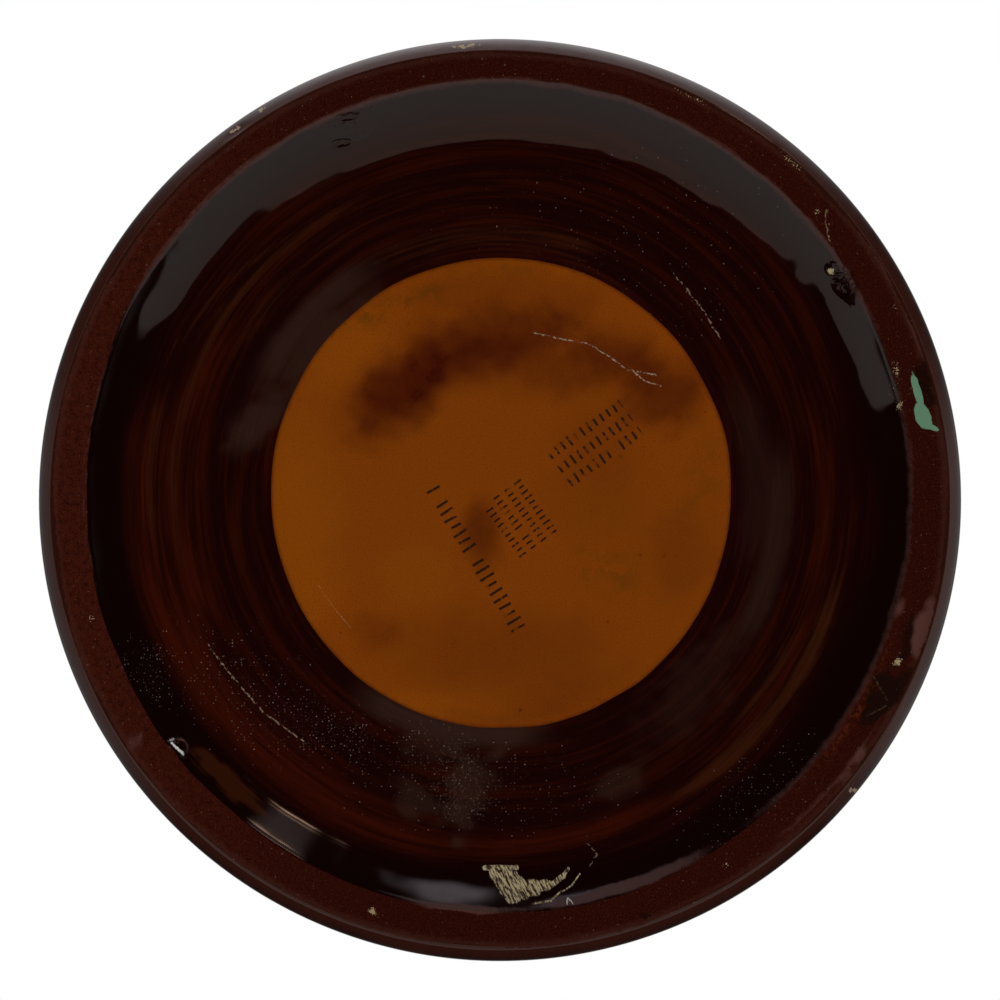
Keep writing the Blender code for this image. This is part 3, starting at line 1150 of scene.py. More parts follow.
@dataclass(frozen=True)
class WallFinish:
    """The treacle-brown glaze of the body, neck and handle, thin and amber where it breaks over edges."""

    name: str = "treacle_glaze"
    dark: Colour = (0.0085, 0.0020, 0.0010, 1.0)
    brown: Colour = (0.030, 0.0068, 0.0018, 1.0)
    red: Colour = (0.055, 0.012, 0.0025, 1.0)
    amber: Colour = (0.16, 0.046, 0.006, 1.0)
    foot_dark: Colour = (0.0070, 0.0018, 0.0011, 1.0)
    foot_thin: Colour = (0.0290, 0.0070, 0.0042, 1.0)
    chip: Colour = (0.23, 0.165, 0.10, 1.0)
    gloss: float = 0.07
    breaks: float = 1.0

    def build(self) -> bpy.types.Material:
        """Makes the material.

        Returns:
            The material.
        """
        material, bench, shader = new_material(self.name)
        coordinates = bench.node("ShaderNodeTexCoord").outputs["Object"]
        solid = bench.scaled(coordinates, 1 / MM)
        tall = bench.vector("MULTIPLY", solid, (1.0, 1.0, 0.22))
        runs = bench.noise(tall, 0.16, 3.0, 0.6, True)
        clouds = bench.noise(solid, 0.045, 2.0, 0.6, True)
        grain = bench.noise(solid, 2.2, 2.0, 0.6, True)
        colour = bench.mix(bench.rise(clouds * 0.5 + runs * 0.5, 0.38, 0.62), self.dark, self.brown)
        colour = bench.mix(bench.rise(runs, 0.52, 0.74) * 0.5, colour, self.red)
        height_mm = Tone(bench, bench.node("ShaderNodeSeparateXYZ", {}, {0: solid}).outputs[2])
        colour = bench.mix(bench.fall(height_mm + (runs - 0.5) * 8, 3.0, 16.0), colour, self.foot_dark)
        colour = bench.mix(bench.fall(height_mm + (runs - 0.5) * 1.5, 0.4, 2.0), colour, self.foot_thin)
        thin = bench.layer("thin") * self.breaks
        worn = bench.rise(thin + (runs - 0.5) * 0.7 + (grain - 0.5) * 0.25, 0.25, 0.95)
        colour = bench.mix(worn, colour, self.amber)
        speck = bench.rise(grain, 0.66, 0.76) * 0.5
        colour = bench.mix(speck, colour, self.dark)
        chipped = bench.rise(bench.layer(Layer.CHIP.value) + (grain - 0.5) * 1.2, 0.5, 0.6)
        colour = bench.mix(chipped, colour, self.chip)
        rough = self.gloss + bench.rise(grain, 0.5, 0.8) * 0.05 + worn * 0.03 + chipped * 0.4
        height = runs * 0.6 + bench.noise(solid, 0.5, 1.0, 0.5, True) * 0.4
        bump = bench.node("ShaderNodeBump", {}, {"Strength": 0.6, "Distance": 0.08 * MM, "Height": height})
        bench.feed(shader.inputs["Base Color"], colour)
        bench.feed(shader.inputs["Roughness"], rough)
        bench.feed(shader.inputs["Normal"], bump.outputs["Normal"])
        return material


# The flask


@dataclass
class Flask:
    """The whole flask as one closed skin, inside and out."""

    foot_radius: float = 44.9 * MM
    recess_radius: float = 41.4 * MM
    recess_shift: Point = (-0.25 * MM, -0.65 * MM)
    disc_shift: Point = (0.1 * MM, -0.7 * MM)
    disc_oval: float = 0.0105
    edge_bulge: float = 0.55 * MM
    cove_width: float = 6.3 * MM
    cove_depth: float = 3.6 * MM
    disc_radius: float = 23.4 * MM
    disc_depth: float = 4.8 * MM
    ring_edge_round: float = 0.1 * MM
    heel_radius: float = 46.25 * MM
    heel_height: float = 2.2 * MM
    belly_radius: float = 47.6 * MM
    belly_height: float = 46.0 * MM
    flank_radius: float = 45.2 * MM
    flank_height: float = 95.0 * MM
    shoulder_radius: float = 31.5 * MM
    shoulder_height: float = 130.0 * MM
    neck_root_height: float = 155.0 * MM
    flank_lean: float = 0.75
    shoulder_lean: float = 1.6
    wall: float = 5.0 * MM
    floor_height: float = 10.3 * MM
    floor_round: float = 8.0 * MM
    bore_radius: float = 9.4 * MM
    neck_radius: float = 14.4 * MM
    neck_top: float = 188.0 * MM
    cordon_space: float = 4.0 * MM
    cordon_round: float = 2.0 * MM
    cordon_stands_out: float = 1.3 * MM
    lip_radius: float = 17.6 * MM
    lip_top: float = 200.0 * MM
    lip_round: float = 3.4 * MM
    lip_under_round: float = 2.7 * MM
    mouth_round: float = 1.6 * MM
    turns: int = 320
    map_wall_height: float = 0.205
    map_inside_height: float = 0.215
    map_foot_width: float = 0.0937

    def side_knots(self, inset: float, neck_radius: float) -> list[tuple[Point, Point]]:
        """Knots from the belly up to the neck's root.

        Args:
            inset: How far inside the outer surface the knots lie.
            neck_radius: The radius where the stretch ends.

        Returns:
            Points with directions.
        """
        flank = unit((self.shoulder_radius - self.belly_radius, self.shoulder_height - self.belly_height))
        shoulder = unit((self.neck_radius - self.flank_radius, self.neck_root_height - self.flank_height))
        places = (
            (self.belly_radius, self.belly_height, (0.0, 1.0)),
            (self.flank_radius, self.flank_height, (flank[0] * self.flank_lean, flank[1])),
            (self.shoulder_radius, self.shoulder_height, (shoulder[0] * self.shoulder_lean, shoulder[1])),
        )
        knots = []
        for radius, height, way in places:
            along = unit(way)
            knots.append(((radius - inset * along[1], height + inset * along[0]), along))
        knots.append(((neck_radius, self.neck_root_height), (0.0, 1.0)))
        return knots

    def disc(self) -> list[Point]:
        """The profile of the flat disc in the recess."""
        return stretch((0.0, self.disc_depth), (self.disc_radius, self.disc_depth), 24)

    def slip(self) -> list[Point]:
        """The profile from the disc's edge over the rising floor and down the cove."""
        cove_end = (self.recess_radius - self.cove_width, self.cove_depth)
        floor_way = unit((cove_end[0] - self.disc_radius, cove_end[1] - self.disc_depth))
        points = stretch((self.disc_radius, self.disc_depth), cove_end, 26)
        points += span((cove_end, floor_way), ((self.recess_radius, 0.02 * MM), unit((1.0, -0.97))), 24)
        return points

    def ring(self) -> list[Point]:
        """The profile of the standing ring, its edges a little rounded."""
        width = self.foot_radius - self.recess_radius
        steps = 11
        points = []
        for i in range(steps):
            share = 2 * i / steps - 1
            points.append((self.recess_radius + width * i / steps, self.ring_edge_round * abs(share) ** 5))
        return points

    def outside(self) -> list[Point]:
        """The profile from the ring's outer edge up to the lip's flat top."""
        heel_end = (self.heel_radius, self.heel_height)
        knots = self.side_knots(0.0, self.neck_radius)
        climb = unit((self.belly_radius - self.heel_radius, (self.belly_height - self.heel_height) / 2))
        points = span(((self.foot_radius, 0.04 * MM), unit((1.0, 1.15))), (heel_end, climb), 10)
        points += span((heel_end, climb), knots[0], 16)
        for lower, upper, steps in zip(knots, knots[1:], (15, 15, 14)):
            points += span(lower, upper, steps)
        centre = self.neck_radius + self.cordon_stands_out - self.cordon_round
        half = math.degrees(math.acos((self.neck_radius - centre) / self.cordon_round))
        cordon_height = self.neck_root_height + self.cordon_space
        points.append((self.neck_radius, self.neck_root_height))
        points += arc((centre, cordon_height), self.cordon_round, -half, half, 10)
        neck_start = (self.neck_radius, cordon_height + 1.9 * MM)
        points += stretch(neck_start, (self.neck_radius, self.neck_top), 12)[1:]
        points.append((self.neck_radius, self.neck_top))
        under = (self.lip_radius - self.lip_under_round, self.neck_top + self.lip_under_round)
        points += arc(under, self.lip_under_round, -90, 0, 7)
        upper = (self.lip_radius - self.lip_round, self.lip_top - self.lip_round)
        points += arc(upper, self.lip_round, 0, 90, 9)
        return points

    def inside(self) -> list[Point]:
        """The profile from the mouth down the bore to the middle of the cavity's floor."""
        corner_radius = self.foot_radius - self.wall
        corner_height = self.floor_height + self.floor_round
        knots = self.side_knots(self.wall, self.bore_radius)
        upward = stretch((0.0, self.floor_height), (corner_radius - self.floor_round, self.floor_height), 5)
        upward += arc((corner_radius - self.floor_round, corner_height), self.floor_round, -90, 0, 6)[:-1]
        upward += span(((corner_radius, corner_height), (0.0, 1.0)), knots[0], 4)
        for lower, upper in zip(knots, knots[1:]):
            upward += span(lower, upper, 7)
        bore_top = self.lip_top - self.mouth_round
        upward += stretch((self.bore_radius, self.neck_root_height), (self.bore_radius, bore_top), 9)
        upward += arc((self.bore_radius + self.mouth_round, bore_top), self.mouth_round, 180, 90, 6)
        return list(reversed(upward))

    def turned_body(self) -> bpy.types.Object:
        """Draws the profile, turns it and sets each zone's material slot.

        Returns:
            The body with no handle.
        """
        sections = (
            (Zone.DISC, self.disc()),
            (Zone.SLIP, self.slip()),
            (Zone.RING, self.ring()),
            (Zone.OUTSIDE, self.outside()),
            (Zone.INSIDE, self.inside()),
        )
        profile = [point for _, points in sections for point in points]
        bpy.ops.object.select_all(action="DESELECT")
        bpy.ops.mesh.primitive_plane_add(size=MM)
        body = bpy.context.object
        body.name = "flask_glazed"
        bpy.ops.object.mode_set(mode="EDIT")
        bpy.ops.mesh.select_all(action="SELECT")
        bpy.ops.mesh.merge(type="CENTER")
        bpy.ops.transform.translate(value=(profile[0][0], 0.0, profile[0][1]))
        for start, end in zip(profile, profile[1:]):
            move = (end[0] - start[0], 0.0, end[1] - start[1])
            bpy.ops.mesh.extrude_region_move(TRANSFORM_OT_translate={"value": move})
        bpy.ops.mesh.select_all(action="SELECT")
        bpy.ops.mesh.spin(steps=self.turns, angle=math.tau, center=(0, 0, 0), axis=(0, 0, 1))
        bpy.ops.mesh.select_all(action="SELECT")
        bpy.ops.mesh.remove_doubles(threshold=MERGE_DISTANCE)
        bpy.ops.mesh.normals_make_consistent(inside=False)
        bpy.ops.object.mode_set(mode="OBJECT")
        self.set_zones(body, sections)
        return body

    def set_zones(self, body: bpy.types.Object, sections: tuple) -> None:
        """Gives each face the slot of the profile stretch that it was turned from.

        Args:
            body: The turned body.
            sections: Each zone with its points.
        """
        for _ in Zone:
            body.data.materials.append(None)
        zones = [zone.value for zone, points in sections for _ in points]
        profile = np.array([point for _, points in sections for point in points])
        middles = (profile[1:] + profile[:-1]) / 2
        places = polygon_centres(body.data)
        radii = np.hypot(places[:, 0], places[:, 1])
        slots = np.zeros(len(places), np.int32)
        batch = 20000
        for first in range(0, len(places), batch):
            piece = slice(first, first + batch)
            gaps = np.hypot(
                radii[piece, None] - middles[None, :, 0], places[piece, 2, None] - middles[None, :, 1]
            )
            slots[piece] = np.array(zones)[np.argmin(gaps, axis=1)]
        body.data.polygons.foreach_set("material_index", slots)

    def refine(self, body: bpy.types.Object, spots: tuple, cuts: int) -> None:
        """Cuts the faces finer where the glaze has small lumps and pits.

        Args:
            body: The turned body.
            spots: Places as pixels, with their reach.
            cuts: How many cuts each edge gets.
        """
        bpy.context.view_layer.objects.active = body
        bpy.ops.object.mode_set(mode="EDIT")
        bpy.ops.mesh.select_mode(type="FACE")
        cage = bmesh.from_edit_mesh(body.data)
        places = [(*seen(px, py), reach * PIXEL) for px, py, reach in spots]
        for face in cage.faces:
            place = face.calc_center_median()
            low = place.z < self.disc_depth and face.material_index in UNDERSIDE
            face.select = low and any(math.hypot(place.x - x, place.y - y) < reach for x, y, reach in places)
        bmesh.update_edit_mesh(body.data)
        bpy.ops.mesh.subdivide(number_cuts=cuts)
        bpy.ops.mesh.select_mode(type="VERT")
        bpy.ops.object.mode_set(mode="OBJECT")

    def weather(self, body: bpy.types.Object) -> None:
        """Moves the foot's points: the recess off centre, the hand's unevenness, lumps, pits and chips.

        Args:
            body: The body before the handle is joined.
        """
        mesh = body.data
        places = vertex_places(mesh)
        normals = np.zeros(len(places) * 3, np.float32)
        mesh.vertices.foreach_get("normal", normals)
        normals = normals.reshape(-1, 3)
        radius = np.hypot(places[:, 0], places[:, 1])
        write_layer(mesh, "reach", radius / MM)
        under = (places[:, 2] < self.disc_depth + 0.1 * MM) & (normals[:, 2] < -0.2)
        ways = places[:, :2] / np.maximum(radius, MM)[:, None]
        recess = (1 - soft_step(radius, self.recess_radius, self.foot_radius)) * under
        on_disc = (1 - soft_step(radius, self.disc_radius, self.recess_radius - self.cove_width)) * under
        shift = np.outer(recess - on_disc, self.recess_shift) + np.outer(on_disc, self.disc_shift)
        oval = radius * self.disc_oval * (ways[:, 1] ** 2 - ways[:, 0] ** 2) * on_disc
        round_edge = ways * 40 * MM
        edge = ripples(round_edge, 22 * MM, 7) * 0.14 * MM + ripples(round_edge, 5 * MM, 8) * 0.04 * MM
        turned = np.degrees(np.arctan2(places[:, 1], places[:, 0]))
        edge += self.edge_bulge * np.exp(-(((turned - 78.0) / 36.0) ** 2))
        edge -= 0.4 * self.edge_bulge * np.exp(-(((turned % 360.0 - 186.0) / 24.0) ** 2))
        waver = edge * soft_step(radius, 30 * MM, 39 * MM) * recess
        disc_waver = ripples(ways * 23 * MM, 6 * MM, 9) * 0.07 * MM
        waver += disc_waver * on_disc * soft_step(radius, 15 * MM, 22 * MM)
        places[:, :2] += shift + ways * (waver + oval)[:, None]
        px = places[:, 0] / PIXEL + FRAME_MIDDLE
        py = places[:, 1] / PIXEL + FRAME_MIDDLE
        rough = ripples(places, 0.7 * MM, 3)
        lift = np.zeros(len(places))
        for bump in FOOT_BUMPS:
            lift += bump.lift(px, py, rough)
        cove = soft_step(radius, 33 * MM, 37 * MM) * (1 - soft_step(radius, 40 * MM, 41.4 * MM))
        lift += ripples(places, 9 * MM, 11) * 0.035 * MM * cove
        lift += ripples(places, 3.2 * MM, 12) * 0.008 * MM * cove
        lift = np.where(under & (places[:, 2] > 0.03 * MM), lift, np.minimum(lift, 0.0) * under)
        places += normals * lift[:, None]
        places[:, 2] = np.maximum(places[:, 2], 0.0)
        outer = (~under) & (places[:, 2] > 4 * MM)
        throwing = ripples(places[:, 2:3], 7 * MM, 21) * 0.06 * MM + ripples(places, 30 * MM, 22) * 0.08 * MM
        above_foot = soft_step(places[:, 2], 4 * MM, 16 * MM)
        throwing *= above_foot * (1 - soft_step(places[:, 2], 150 * MM, 165 * MM))
        places += normals * np.where(outer, throwing - 0.1 * MM * (throwing != 0), 0.0)[:, None]
        mesh.vertices.foreach_set("co", places.astype(np.float32).ravel())
        mesh.update()

    def paint(self, body: bpy.types.Object) -> None:
        """Paints the finish's layers on the mesh.

        Args:
            body: The finished mesh.
        """
        mesh = body.data
        places = vertex_places(mesh)
        reach = PIXEL * (1 + places[:, 2] / CAMERA_DISTANCE)
        px = places[:, 0] / reach + FRAME_MIDDLE
        py = places[:, 1] / reach + FRAME_MIDDLE
        rough = ripples(places, 4 * MM, 5) + 0.5 * ripples(places, 1.4 * MM, 6)
        low = places[:, 2] < 8 * MM
        from_middle = places[:, :2] / PIXEL - np.array(self.recess_shift) / PIXEL
        reach_px = np.hypot(from_middle[:, 0], from_middle[:, 1])
        angle = np.degrees(np.arctan2(from_middle[:, 1], from_middle[:, 0]))
        for layer in Layer:
            left = np.ones(len(places))
            for wash in FOOT_WASHES.get(layer, ()):
                left *= 1 - wash.amount(px, py, rough)
            for sweep in FOOT_SWEEPS.get(layer, ()):
                left *= 1 - sweep.amount(reach_px, angle, rough)
            write_layer(mesh, layer.value, np.where(low, 1 - left, 0.0))
        write_layer(mesh, "thin", self.thin_glaze(places))

    def thin_glaze(self, places: np.ndarray) -> np.ndarray:
        """Where the glaze draws back from an edge and shows amber.

        Args:
            places: The mesh's points.

        Returns:
            The amount at each point, 0 to 1.
        """
        height = places[:, 2]
        radius = np.hypot(places[:, 0], places[:, 1])
        near_neck = 1 - soft_step(radius, 18.5 * MM, 20 * MM)
        lip = soft_step(height, 197.2 * MM, 199.6 * MM)
        lip_side = 0.5 * np.exp(-(((height - 190.2 * MM) / (1.2 * MM)) ** 2))
        lip_side = lip_side * soft_step(radius, 16 * MM, 17.4 * MM)
        cordon = np.exp(-(((height - self.neck_root_height - self.cordon_space) / (0.9 * MM)) ** 2))
        cordon *= soft_step(radius, 14.9 * MM, 15.5 * MM)
        strap = np.abs(places[:, 1]) / (6.25 * MM)
        handle = soft_step(radius, 19 * MM, 21 * MM) * soft_step(height, 136 * MM, 146 * MM)
        handle *= soft_step(strap, 0.72, 1.0) * (places[:, 0] > 18 * MM)
        thin = np.maximum.reduce([lip * near_neck, lip_side, cordon * near_neck, handle * 0.75])
        return np.clip(thin, 0, 1)

    def unwrap(self, body: bpy.types.Object) -> None:
        """Lays the OFBake map: the foot flat, the walls rolled out.

        Args:
            body: The finished mesh.
        """
        mesh = body.data
        places = vertex_places(mesh)
        slots = np.zeros(len(mesh.polygons), np.int32)
        mesh.polygons.foreach_get("material_index", slots)
        corners = np.zeros(len(mesh.loops), np.int32)
        mesh.loops.foreach_get("vertex_index", corners)
        totals = np.zeros(len(mesh.polygons), np.int32)
        mesh.polygons.foreach_get("loop_total", totals)
        owner = np.repeat(np.arange(len(totals)), totals)
        centres = polygon_centres(mesh)
        points = places[corners]
        slot = slots[owner]
        middle = np.arctan2(centres[owner, 1], centres[owner, 0])
        turn = np.arctan2(points[:, 1], points[:, 0])
        turn = np.where(np.hypot(points[:, 0], points[:, 1]) < 0.1 * MM, middle, turn)
        turn = middle + (turn - middle + math.pi) % math.tau - math.pi
        share = np.clip((turn + math.pi) / math.tau, -0.01, 1.01)
        radius = np.hypot(points[:, 0], points[:, 1])
        lip_top = np.clip(self.lip_radius - radius, 0, 0.02) * (points[:, 2] > 0.19)
        side = (points[:, 2] + lip_top) / self.map_wall_height
        inner = (points[:, 2] + (40 * MM - radius) * -0.3) / self.map_inside_height
        u = np.zeros(len(points))
        v = np.zeros(len(points))
        across_foot = points[:, 0] / self.map_foot_width + 0.5
        up_foot = points[:, 1] / self.map_foot_width + 0.5
        across_strap = points[:, 1] / 0.02 + 0.5
        up_strap = points[:, 2] / 0.07 - 1.7
        for zone, across, up, box in (
            (Zone.DISC, across_foot, up_foot, FOOT_BOX),
            (Zone.SLIP, across_foot, up_foot, FOOT_BOX),
            (Zone.RING, across_foot, up_foot, FOOT_BOX),
            (Zone.OUTSIDE, share, side, WALL_BOX),
            (Zone.INSIDE, share, inner, INSIDE_BOX),
            (Zone.HANDLE, across_strap, up_strap, STRAP_BOX),
        ):
            here = slot == zone.value
            u[here] = box[0] + box[2] * np.clip(across[here], 0, 1)
            v[here] = box[1] + box[3] * np.clip(up[here], 0, 1)
        layer = mesh.uv_layers.new(name="OFBake")
        layer.data.foreach_set("uv", np.column_stack([u, v]).astype(np.float32).ravel())

    def build(self, handle: "StrapHandle") -> bpy.types.Object:
        """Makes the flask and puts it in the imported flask's place.

        Args:
            handle: The handle that is joined to it.

        Returns:
            The finished piece.
        """
        body = self.turned_body()
        self.refine(body, FINE_SPOTS, 2)
        self.refine(body, FINEST_SPOTS, 1)
        self.weather(body)
        handle.join(body)
        self.paint(body)
        self.unwrap(body)
        wall = WallFinish().build()
        body.data.materials[Zone.OUTSIDE.value] = wall
        body.data.materials[Zone.DISC.value] = DiscFinish().build()
        body.data.materials[Zone.SLIP.value] = SlipFinish().build()
        body.data.materials[Zone.RING.value] = RingFinish().build()
        inside = WallFinish(name="inside_glaze", breaks=0.0, gloss=0.12)
        body.data.materials[Zone.INSIDE.value] = inside.build()
        body.data.materials[Zone.HANDLE.value] = wall
        body.data.shade_smooth()
        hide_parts("flask")
        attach(body, "root")
        return body


def vertex_places(mesh: bpy.types.Mesh) -> np.ndarray:
    """The mesh's points, one a row."""
    places = np.zeros(len(mesh.vertices) * 3, np.float32)
    mesh.vertices.foreach_get("co", places)
    return places.reshape(-1, 3).astype(float)


def polygon_centres(mesh: bpy.types.Mesh) -> np.ndarray:
    """The middle of each face, one a row."""
    places = np.zeros(len(mesh.polygons) * 3, np.float32)
    mesh.polygons.foreach_get("center", places)
    return places.reshape(-1, 3).astype(float)


def write_layer(mesh: bpy.types.Mesh, name: str, amount: np.ndarray) -> None:
    """Stores one number for each point of the mesh under a name."""
    layer = mesh.attributes.new(name, "FLOAT", "POINT")
    layer.data.foreach_set("value", amount.astype(np.float32))


@dataclass
class StrapHandle:
    """A strap of clay from the neck, under the lip, down to the shoulder."""

    thickness: float = 6.8 * MM
    width: float = 12.5 * MM
    neck_radius: float = 14.4 * MM
    start_height: float = 179.0 * MM
    crown: float = 1.4 * MM
    bend_drop: float = 21.5 * MM
    finger_gap: float = 21.0 * MM
    root: Point = (30.1 * MM, 126.1 * MM)
    root_way: Point = (-0.86, -0.51)
    root_depth: float = 3.4 * MM
    spread: float = 1.4
    spread_reach: int = 6
    around: int = 40
    span_steps: int = 18
    groove: float = 0.35 * MM

    def line(self) -> list[Point]:
        """Points along the strap's middle, as one smooth curve."""
        crown_radius = self.neck_radius + self.finger_gap / 2
        bend_radius = self.neck_radius + self.finger_gap + self.thickness / 2
        rise = unit((crown_radius - self.neck_radius, self.crown))
        knots = [
            ((self.neck_radius - self.root_depth, self.start_height), rise),
            ((crown_radius, self.start_height + self.crown), (1.0, 0.0)),
            ((bend_radius, self.start_height - self.bend_drop), (0.0, -1.0)),
            (self.root, unit(self.root_way)),
        ]
        points = []
        for start, end in zip(knots, knots[1:]):
            points += span(start, end, self.span_steps)
        points.append(knots[-1][0])
        return points

    def solid(self) -> bpy.types.Object:
        """Extrudes the strap's section along its line.

        Returns:
            The strap as a closed mesh.
        """
        line = self.line()
        ways = [unit((b[0] - a[0], b[1] - a[1])) for a, b in zip(line, line[1:])]
        slopes = [ways[0]] + [unit((a[0] + b[0], a[1] + b[1])) for a, b in zip(ways, ways[1:])] + [ways[-1]]
        bpy.ops.object.select_all(action="DESELECT")
        bpy.ops.mesh.primitive_circle_add(vertices=self.around, radius=self.thickness / 2, fill_type="NGON")
        strap = bpy.context.object
        strap.name = "strap"
        bpy.ops.object.mode_set(mode="EDIT")
        bpy.ops.mesh.select_all(action="SELECT")
        bpy.ops.transform.resize(value=(1.0, self.width / self.thickness, 1.0))
        bpy.ops.object.mode_set(mode="OBJECT")
        flat = vertex_places(strap.data)
        turned = np.column_stack([np.zeros(len(flat)), flat[:, 1], flat[:, 0]])
        strap.data.vertices.foreach_set("co", turned.astype(np.float32).ravel())
        bpy.ops.object.mode_set(mode="EDIT")
        bpy.ops.mesh.select_all(action="SELECT")
        for i in range(1, len(line)):
            bpy.ops.mesh.extrude_region_move(TRANSFORM_OT_translate={"value": (MM, 0.0, 0.0)})
        bpy.ops.object.mode_set(mode="OBJECT")
        self.lay(strap, line, slopes)
        bpy.ops.object.mode_set(mode="EDIT")
        bpy.ops.mesh.select_all(action="SELECT")
        bpy.ops.mesh.normals_make_consistent(inside=False)
        bpy.ops.object.mode_set(mode="OBJECT")
        return strap

    def lay(self, strap: bpy.types.Object, line: list[Point], slopes: list[Point]) -> None:
        """Bends the straight strap along its line, spreads its roots and presses in its grooves.

        Args:
            strap: The strap, straight along +X with a section each millimetre.
            line: Its line.
            slopes: The direction at each point of the line.
        """
        places = vertex_places(strap.data)
        index = np.clip(np.rint(places[:, 0] / MM).astype(int), 0, len(line) - 1)
        centre = np.array(line)[index]
        way = np.array(slopes)[index]
        nearness = np.abs(2 * index / (len(line) - 1) - 1) ** self.spread_reach
        grow = 1 + (self.spread - 1) * nearness
        across = places[:, 1] / (self.width / 2)
        out = places[:, 2]
        outer = out > 0
        press = self.groove * (np.exp(-(((np.abs(across) - 0.42) / 0.16) ** 2))) * (1 - nearness)
        out = out - np.where(outer, press, 0.0)
        out = out * grow
        normal = np.column_stack([-way[:, 1], way[:, 0]])
        laid = np.column_stack(
            [centre[:, 0] + normal[:, 0] * out, places[:, 1] * grow, centre[:, 1] + normal[:, 1] * out]
        )
        strap.data.vertices.foreach_set("co", laid.astype(np.float32).ravel())
        strap.data.update()

    def join(self, body: bpy.types.Object) -> None:
        """Joins the strap to the body as one skin and softens the joints.

        Args:
            body: The turned body.
        """
        strap = self.solid()
        for _ in Zone:
            strap.data.materials.append(None)
        slots = np.full(len(strap.data.polygons), Zone.HANDLE.value)
        strap.data.polygons.foreach_set("material_index", slots)
        bpy.ops.object.select_all(action="DESELECT")
        bpy.context.view_layer.objects.active = body
        body.select_set(True)
        union = body.modifiers.new("join_the_handle", "BOOLEAN")
        union.operation = "UNION"
        union.solver = "EXACT"
        union.object = strap
        bpy.ops.object.modifier_apply(modifier=union.name)
        bpy.data.objects.remove(strap)
        self.soften(body)

    def soften(self, body: bpy.types.Object) -> None:
        """Smooths the skin around the two joints, as wet clay is wiped.

        Args:
            body: The joined body.
        """
        bpy.ops.object.mode_set(mode="EDIT")
        bpy.ops.mesh.select_mode(type="VERT")
        cage = bmesh.from_edit_mesh(body.data)
        seam = set()
        for edge in cage.edges:
            slots = {face.material_index for face in edge.link_faces}
            if Zone.HANDLE.value in slots and len(slots) > 1:
                seam.update(edge.verts)
        near = set(seam)
        for _ in range(5):
            near |= {edge.other_vert(vert) for vert in near for edge in vert.link_edges}
        for vert in cage.verts:
            vert.select = vert in near
        cage.select_flush_mode()
        bmesh.update_edit_mesh(body.data)
        for _ in range(7):
            bpy.ops.mesh.vertices_smooth(factor=0.5)
        bpy.ops.mesh.select_all(action="DESELECT")
        bpy.ops.object.mode_set(mode="OBJECT")


# Studio


